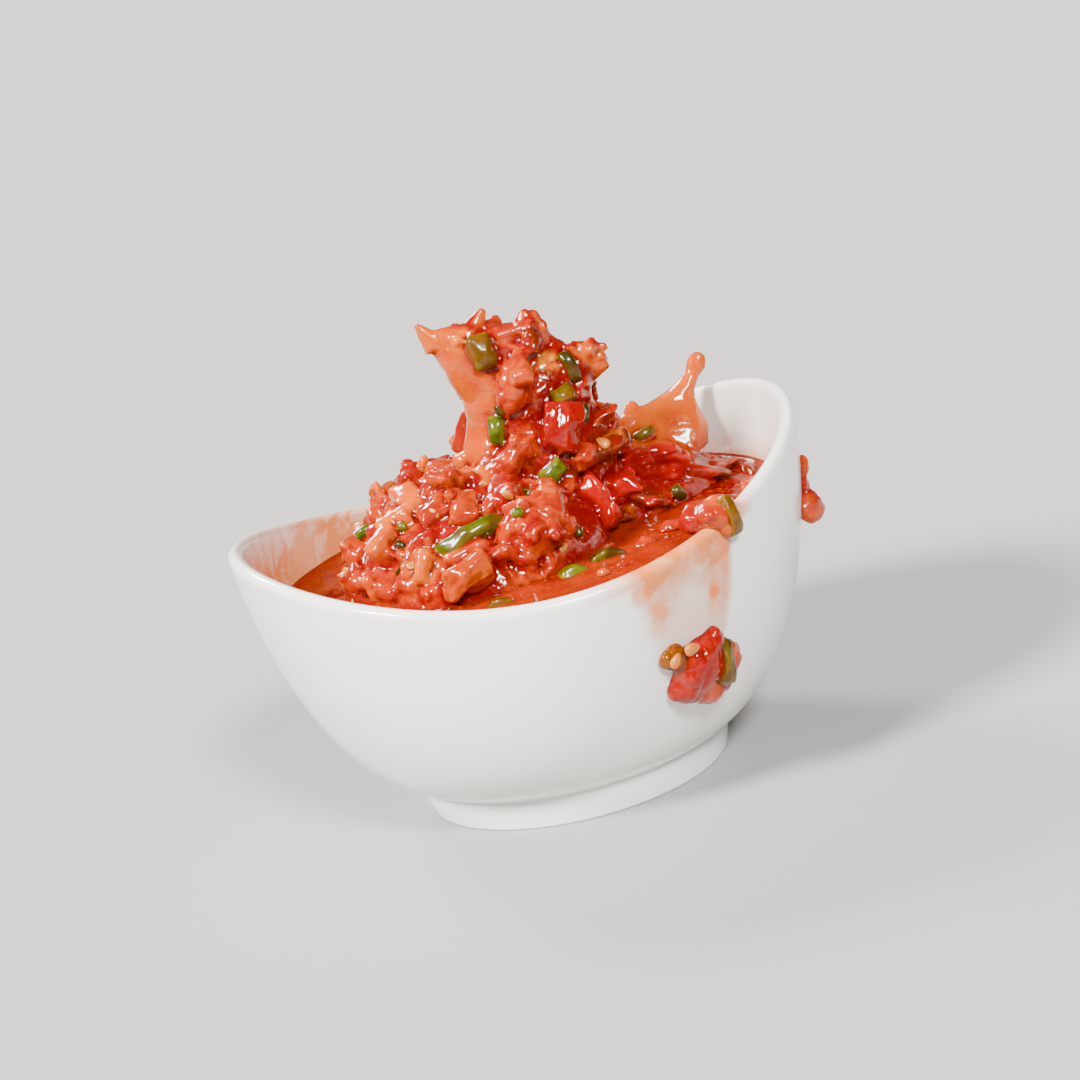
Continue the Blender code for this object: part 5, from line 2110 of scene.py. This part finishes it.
@dataclass(frozen=True)
class Lump:
    """One rounded lump of a splat, with its radii along the wall, out of it and up it."""

    turn: float
    height: float
    proud: float
    radii: Triple
    tone: Tone
    roughness: float = 0.8
    rings: int = 14
    segments: int = 24

    def body(self) -> Body:
        """Points and triangles of the lump, an uneven egg.

        Returns:
            The points, and the corners of each triangle.
        """
        spot, out = on_wall(self.turn, self.height, self.proud)
        along = UP.cross(out)
        rows = []
        for ring in range(1, self.rings):
            polar = math.pi * ring / self.rings
            row = []
            for turn in turns_round(self.segments):
                point = (along * self.radii[0] * math.sin(polar) * math.cos(turn)
                         + out * self.radii[1] * math.sin(polar) * math.sin(turn)
                         + UP * (self.radii[2] * math.cos(polar)))
                row.append(spot + point + noise.noise_vector((spot + point) / 6.0) * self.roughness)
            rows.append(row)
        tall = UP * self.radii[2]
        return closed_faces(rows, (spot + tall, spot - tall))

    def share(self, points: np.ndarray) -> np.ndarray:
        """How much of its colour each point takes.

        Args:
            points: The points.

        Returns:
            One share for each point.
        """
        spot, _ = on_wall(self.turn, self.height, self.proud)
        away = np.linalg.norm(points - np.array(spot), axis=1) / (sum(self.radii) / 3.0)
        return np.exp(-2.2 * away ** 2)


@dataclass(frozen=True)
class Topping:
    """A cut piece that rode along with a splat."""

    cut: Cut
    turn: float
    height: float
    proud: float
    size: Triple
    spin: float
    tone: Tone

    def piece(self, draw: random.Random) -> CutPiece:
        """The piece, lying against the wall.

        Args:
            draw: The source of the random sizes.

        Returns:
            The piece.
        """
        spot, out = on_wall(self.turn, self.height, self.proud)
        made = CutPiece(self.cut, spot, surface_axes(out, self.spin), self.size, self.tone)
        made.draw_corners(draw)
        return made


@dataclass(frozen=True)
class Splat:
    """Salsa that went over the rim and stuck to the outer wall, with what rode along.

    Each seed on it is a turn, a height, how far it stands proud and a scale.
    """

    name: str
    node: str
    lumps: tuple[Lump, ...]
    toppings: tuple[Topping, ...] = ()
    seeds: tuple[tuple[float, float, float, float], ...] = ()
    over_rim: bool = False
    voxel: float = 0.35
    steps: int = 6
    topping_voxel: float = 0.3
    lobe_size: float = 4.2
    bead_size: float = 1.8

    def build(self, finishes: Finishes, remesher: Remesher) -> None:
        """Make the splat.

        Args:
            finishes: The finishes by name.
            remesher: Joins the lumps.
        """
        made = remesher.run(*gathered(lump.body() for lump in self.lumps), self.voxel, self.steps)
        bumps = np.array([0.45 * (dome(Vector(p), self.lobe_size) - 0.5)
                          + 0.16 * (dome(Vector(p), self.bead_size) - 0.5)
                          for p in made.points.tolist()])
        made.push(bumps)
        # How high each point stands on the relief; the crests are painted paler as a painted highlight,
        # more weakly than on the heap.
        made.values["ridge"] = 0.6 * eased(bumps, np.percentile(bumps, 20), np.percentile(bumps, 99))
        shares = np.stack([lump.share(made.points) for lump in self.lumps], axis=1) + 1e-9
        shares /= shares.sum(axis=1, keepdims=True)
        tones = np.array([[drifted(lump.tone, Vector(p)) for lump in self.lumps]
                          for p in made.points.tolist()])
        made.values["tint"] = (tones * shares[:, :, None]).sum(axis=1)
        self.settle(made)
        self.add(new_object(self.name, made, finishes["pulp"], CONTENTS_TURN))
        draw = random.Random(len(self.lumps))
        if self.toppings:
            shells = [topping.piece(draw).dressed(remesher, self.topping_voxel)
                      for topping in self.toppings]
            for shell in shells:
                shell.values["depth"] = np.zeros(len(shell.points))
            self.add(new_object(self.name + "_chilli", joined(shells), finishes["green_chilli"],
                                CONTENTS_TURN))
        if self.seeds:
            shells = []
            for turn, height, proud, scale in self.seeds:
                spot, out = on_wall(turn, height, proud)
                shells.append(seed_shell(spot, surface_axes(out, 50.0 * len(shells)), scale))
            self.add(new_object(self.name + "_seeds", joined(shells), finishes["seed"], CONTENTS_TURN))

    def add(self, thing: Object) -> None:
        """Give an object of the splat its body and its node.

        Args:
            thing: The object.
        """
        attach(thing, "root")
        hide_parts(self.node)

    def settle(self, made: Shell) -> None:
        """Flatten the shell against the wall, and note how near it each point lies.

        Args:
            made: The shell.
        """
        if self.over_rim:
            made.values["depth"] = np.zeros(len(made.points))
            return
        reach = np.hypot(made.points[:, 0], made.points[:, 1])
        wall = np.array([CURVE.outer(z) for z in made.points[:, 2]])
        factor = np.maximum(reach, wall - 0.15) / reach
        made.points[:, :2] *= factor[:, None]
        # Painted darker where the splat lies against the wall: painted shade where it meets the wall.
        made.values["depth"] = 0.6 * (1.0 - eased(reach - wall, -0.2, 1.6))


SPLATS = (
    Splat("rim_splash", "rim_blob", (
        Lump(-52.6, 60.4, -4.6, (4.4, 3.6, 3.5), Tone.CORAL),
        Lump(-50.4, 61.4, -1.6, (5.0, 4.2, 3.6), Tone.ORANGE),
        Lump(-49.3, 59.2, 0.5, (2.8, 1.8, 4.0), Tone.APRICOT),
    ), (
        Topping(Cut.PEPPER, -49.6, 60.2, 2.2, (9.0, 3.0, 2.2), 99.0, Tone.OLIVE),
    ), over_rim=True),
    Splat("front_splash", "front_splat", (
        Lump(-59.4, 32.6, 0.6, (6.8, 4.6, 6.2), Tone.SCARLET),
        Lump(-57.6, 27.2, 0.6, (5.0, 4.0, 4.6), Tone.ORANGE),
        Lump(-62.6, 29.2, 0.5, (4.6, 3.6, 4.6), Tone.CORAL),
        Lump(-66.0, 35.8, 0.3, (3.4, 2.6, 2.8), Tone.OCHRE),
        Lump(-56.0, 35.2, 0.4, (3.8, 3.2, 4.0), Tone.CORAL),
        Lump(-51.4, 31.0, 0.5, (3.2, 2.4, 4.2), Tone.ORANGE),
        Lump(-54.0, 26.8, 0.5, (3.6, 2.8, 3.8), Tone.ORANGE),
    ), (
        Topping(Cut.PEPPER, -54.8, 31.2, 4.3, (10.4, 4.4, 2.4), 84.0, Tone.OLIVE),
    ), (
        (-62.8, 37.2, 3.2, 1.2),
        (-66.3, 35.8, 2.6, 1.1),
    )),
    Splat("side_splash", "side_splat", (
        Lump(-8.4, 47.8, 1.3, (4.6, 3.4, 3.8), Tone.ORANGE),
        Lump(-7.6, 52.2, 0.4, (3.0, 1.8, 2.6), Tone.BROWN),
        Lump(-7.0, 56.0, 0.3, (2.2, 1.6, 2.8), Tone.ORANGE),
    )),
)


def make_finishes() -> Finishes:
    """Build every finish once.

    Returns:
        The materials by the name of what they dress.
    """
    return {
        "bowl": GlazedStoneware().material(),
        "sauce": TomatoJuice("pulpy_sauce", "#821C00", "#480000", 0.9, 0.14).material(),
        "pulp": WetTomato("tomato_pulp", 2.6, 0.7, 0.13).material(),
        "tomato_flesh": WetTomato("tomato_flesh", 1.2, 0.9, 0.08, roughness=0.1, speckle=0.0,
                                  pale="#A41600").material(),
        "green_chilli": GreenChilli().material(),
        "seed": TomatoSeed().material(),
    }


def main() -> None:
    """Build the studio, the bowl and all that is in it and on it."""
    logging.basicConfig(level=logging.INFO, format="%(name)s: %(message)s")
    noise.seed_set(NOISE_SEED)
    Viewpoint().build()
    Studio().build()
    finishes = make_finishes()
    remesher = Remesher()
    Bowl().build(finishes["bowl"])
    log.info("bowl made")
    heap = SalsaHeap().build(finishes, remesher)
    log.info("heap made")
    LooseSauce().build(finishes, heap, remesher)
    log.info("sauce made")
    for splat in SPLATS:
        splat.build(finishes, remesher)
        log.info("%s made", splat.name)
    remesher.close()


if __name__ == "__main__":
    main()
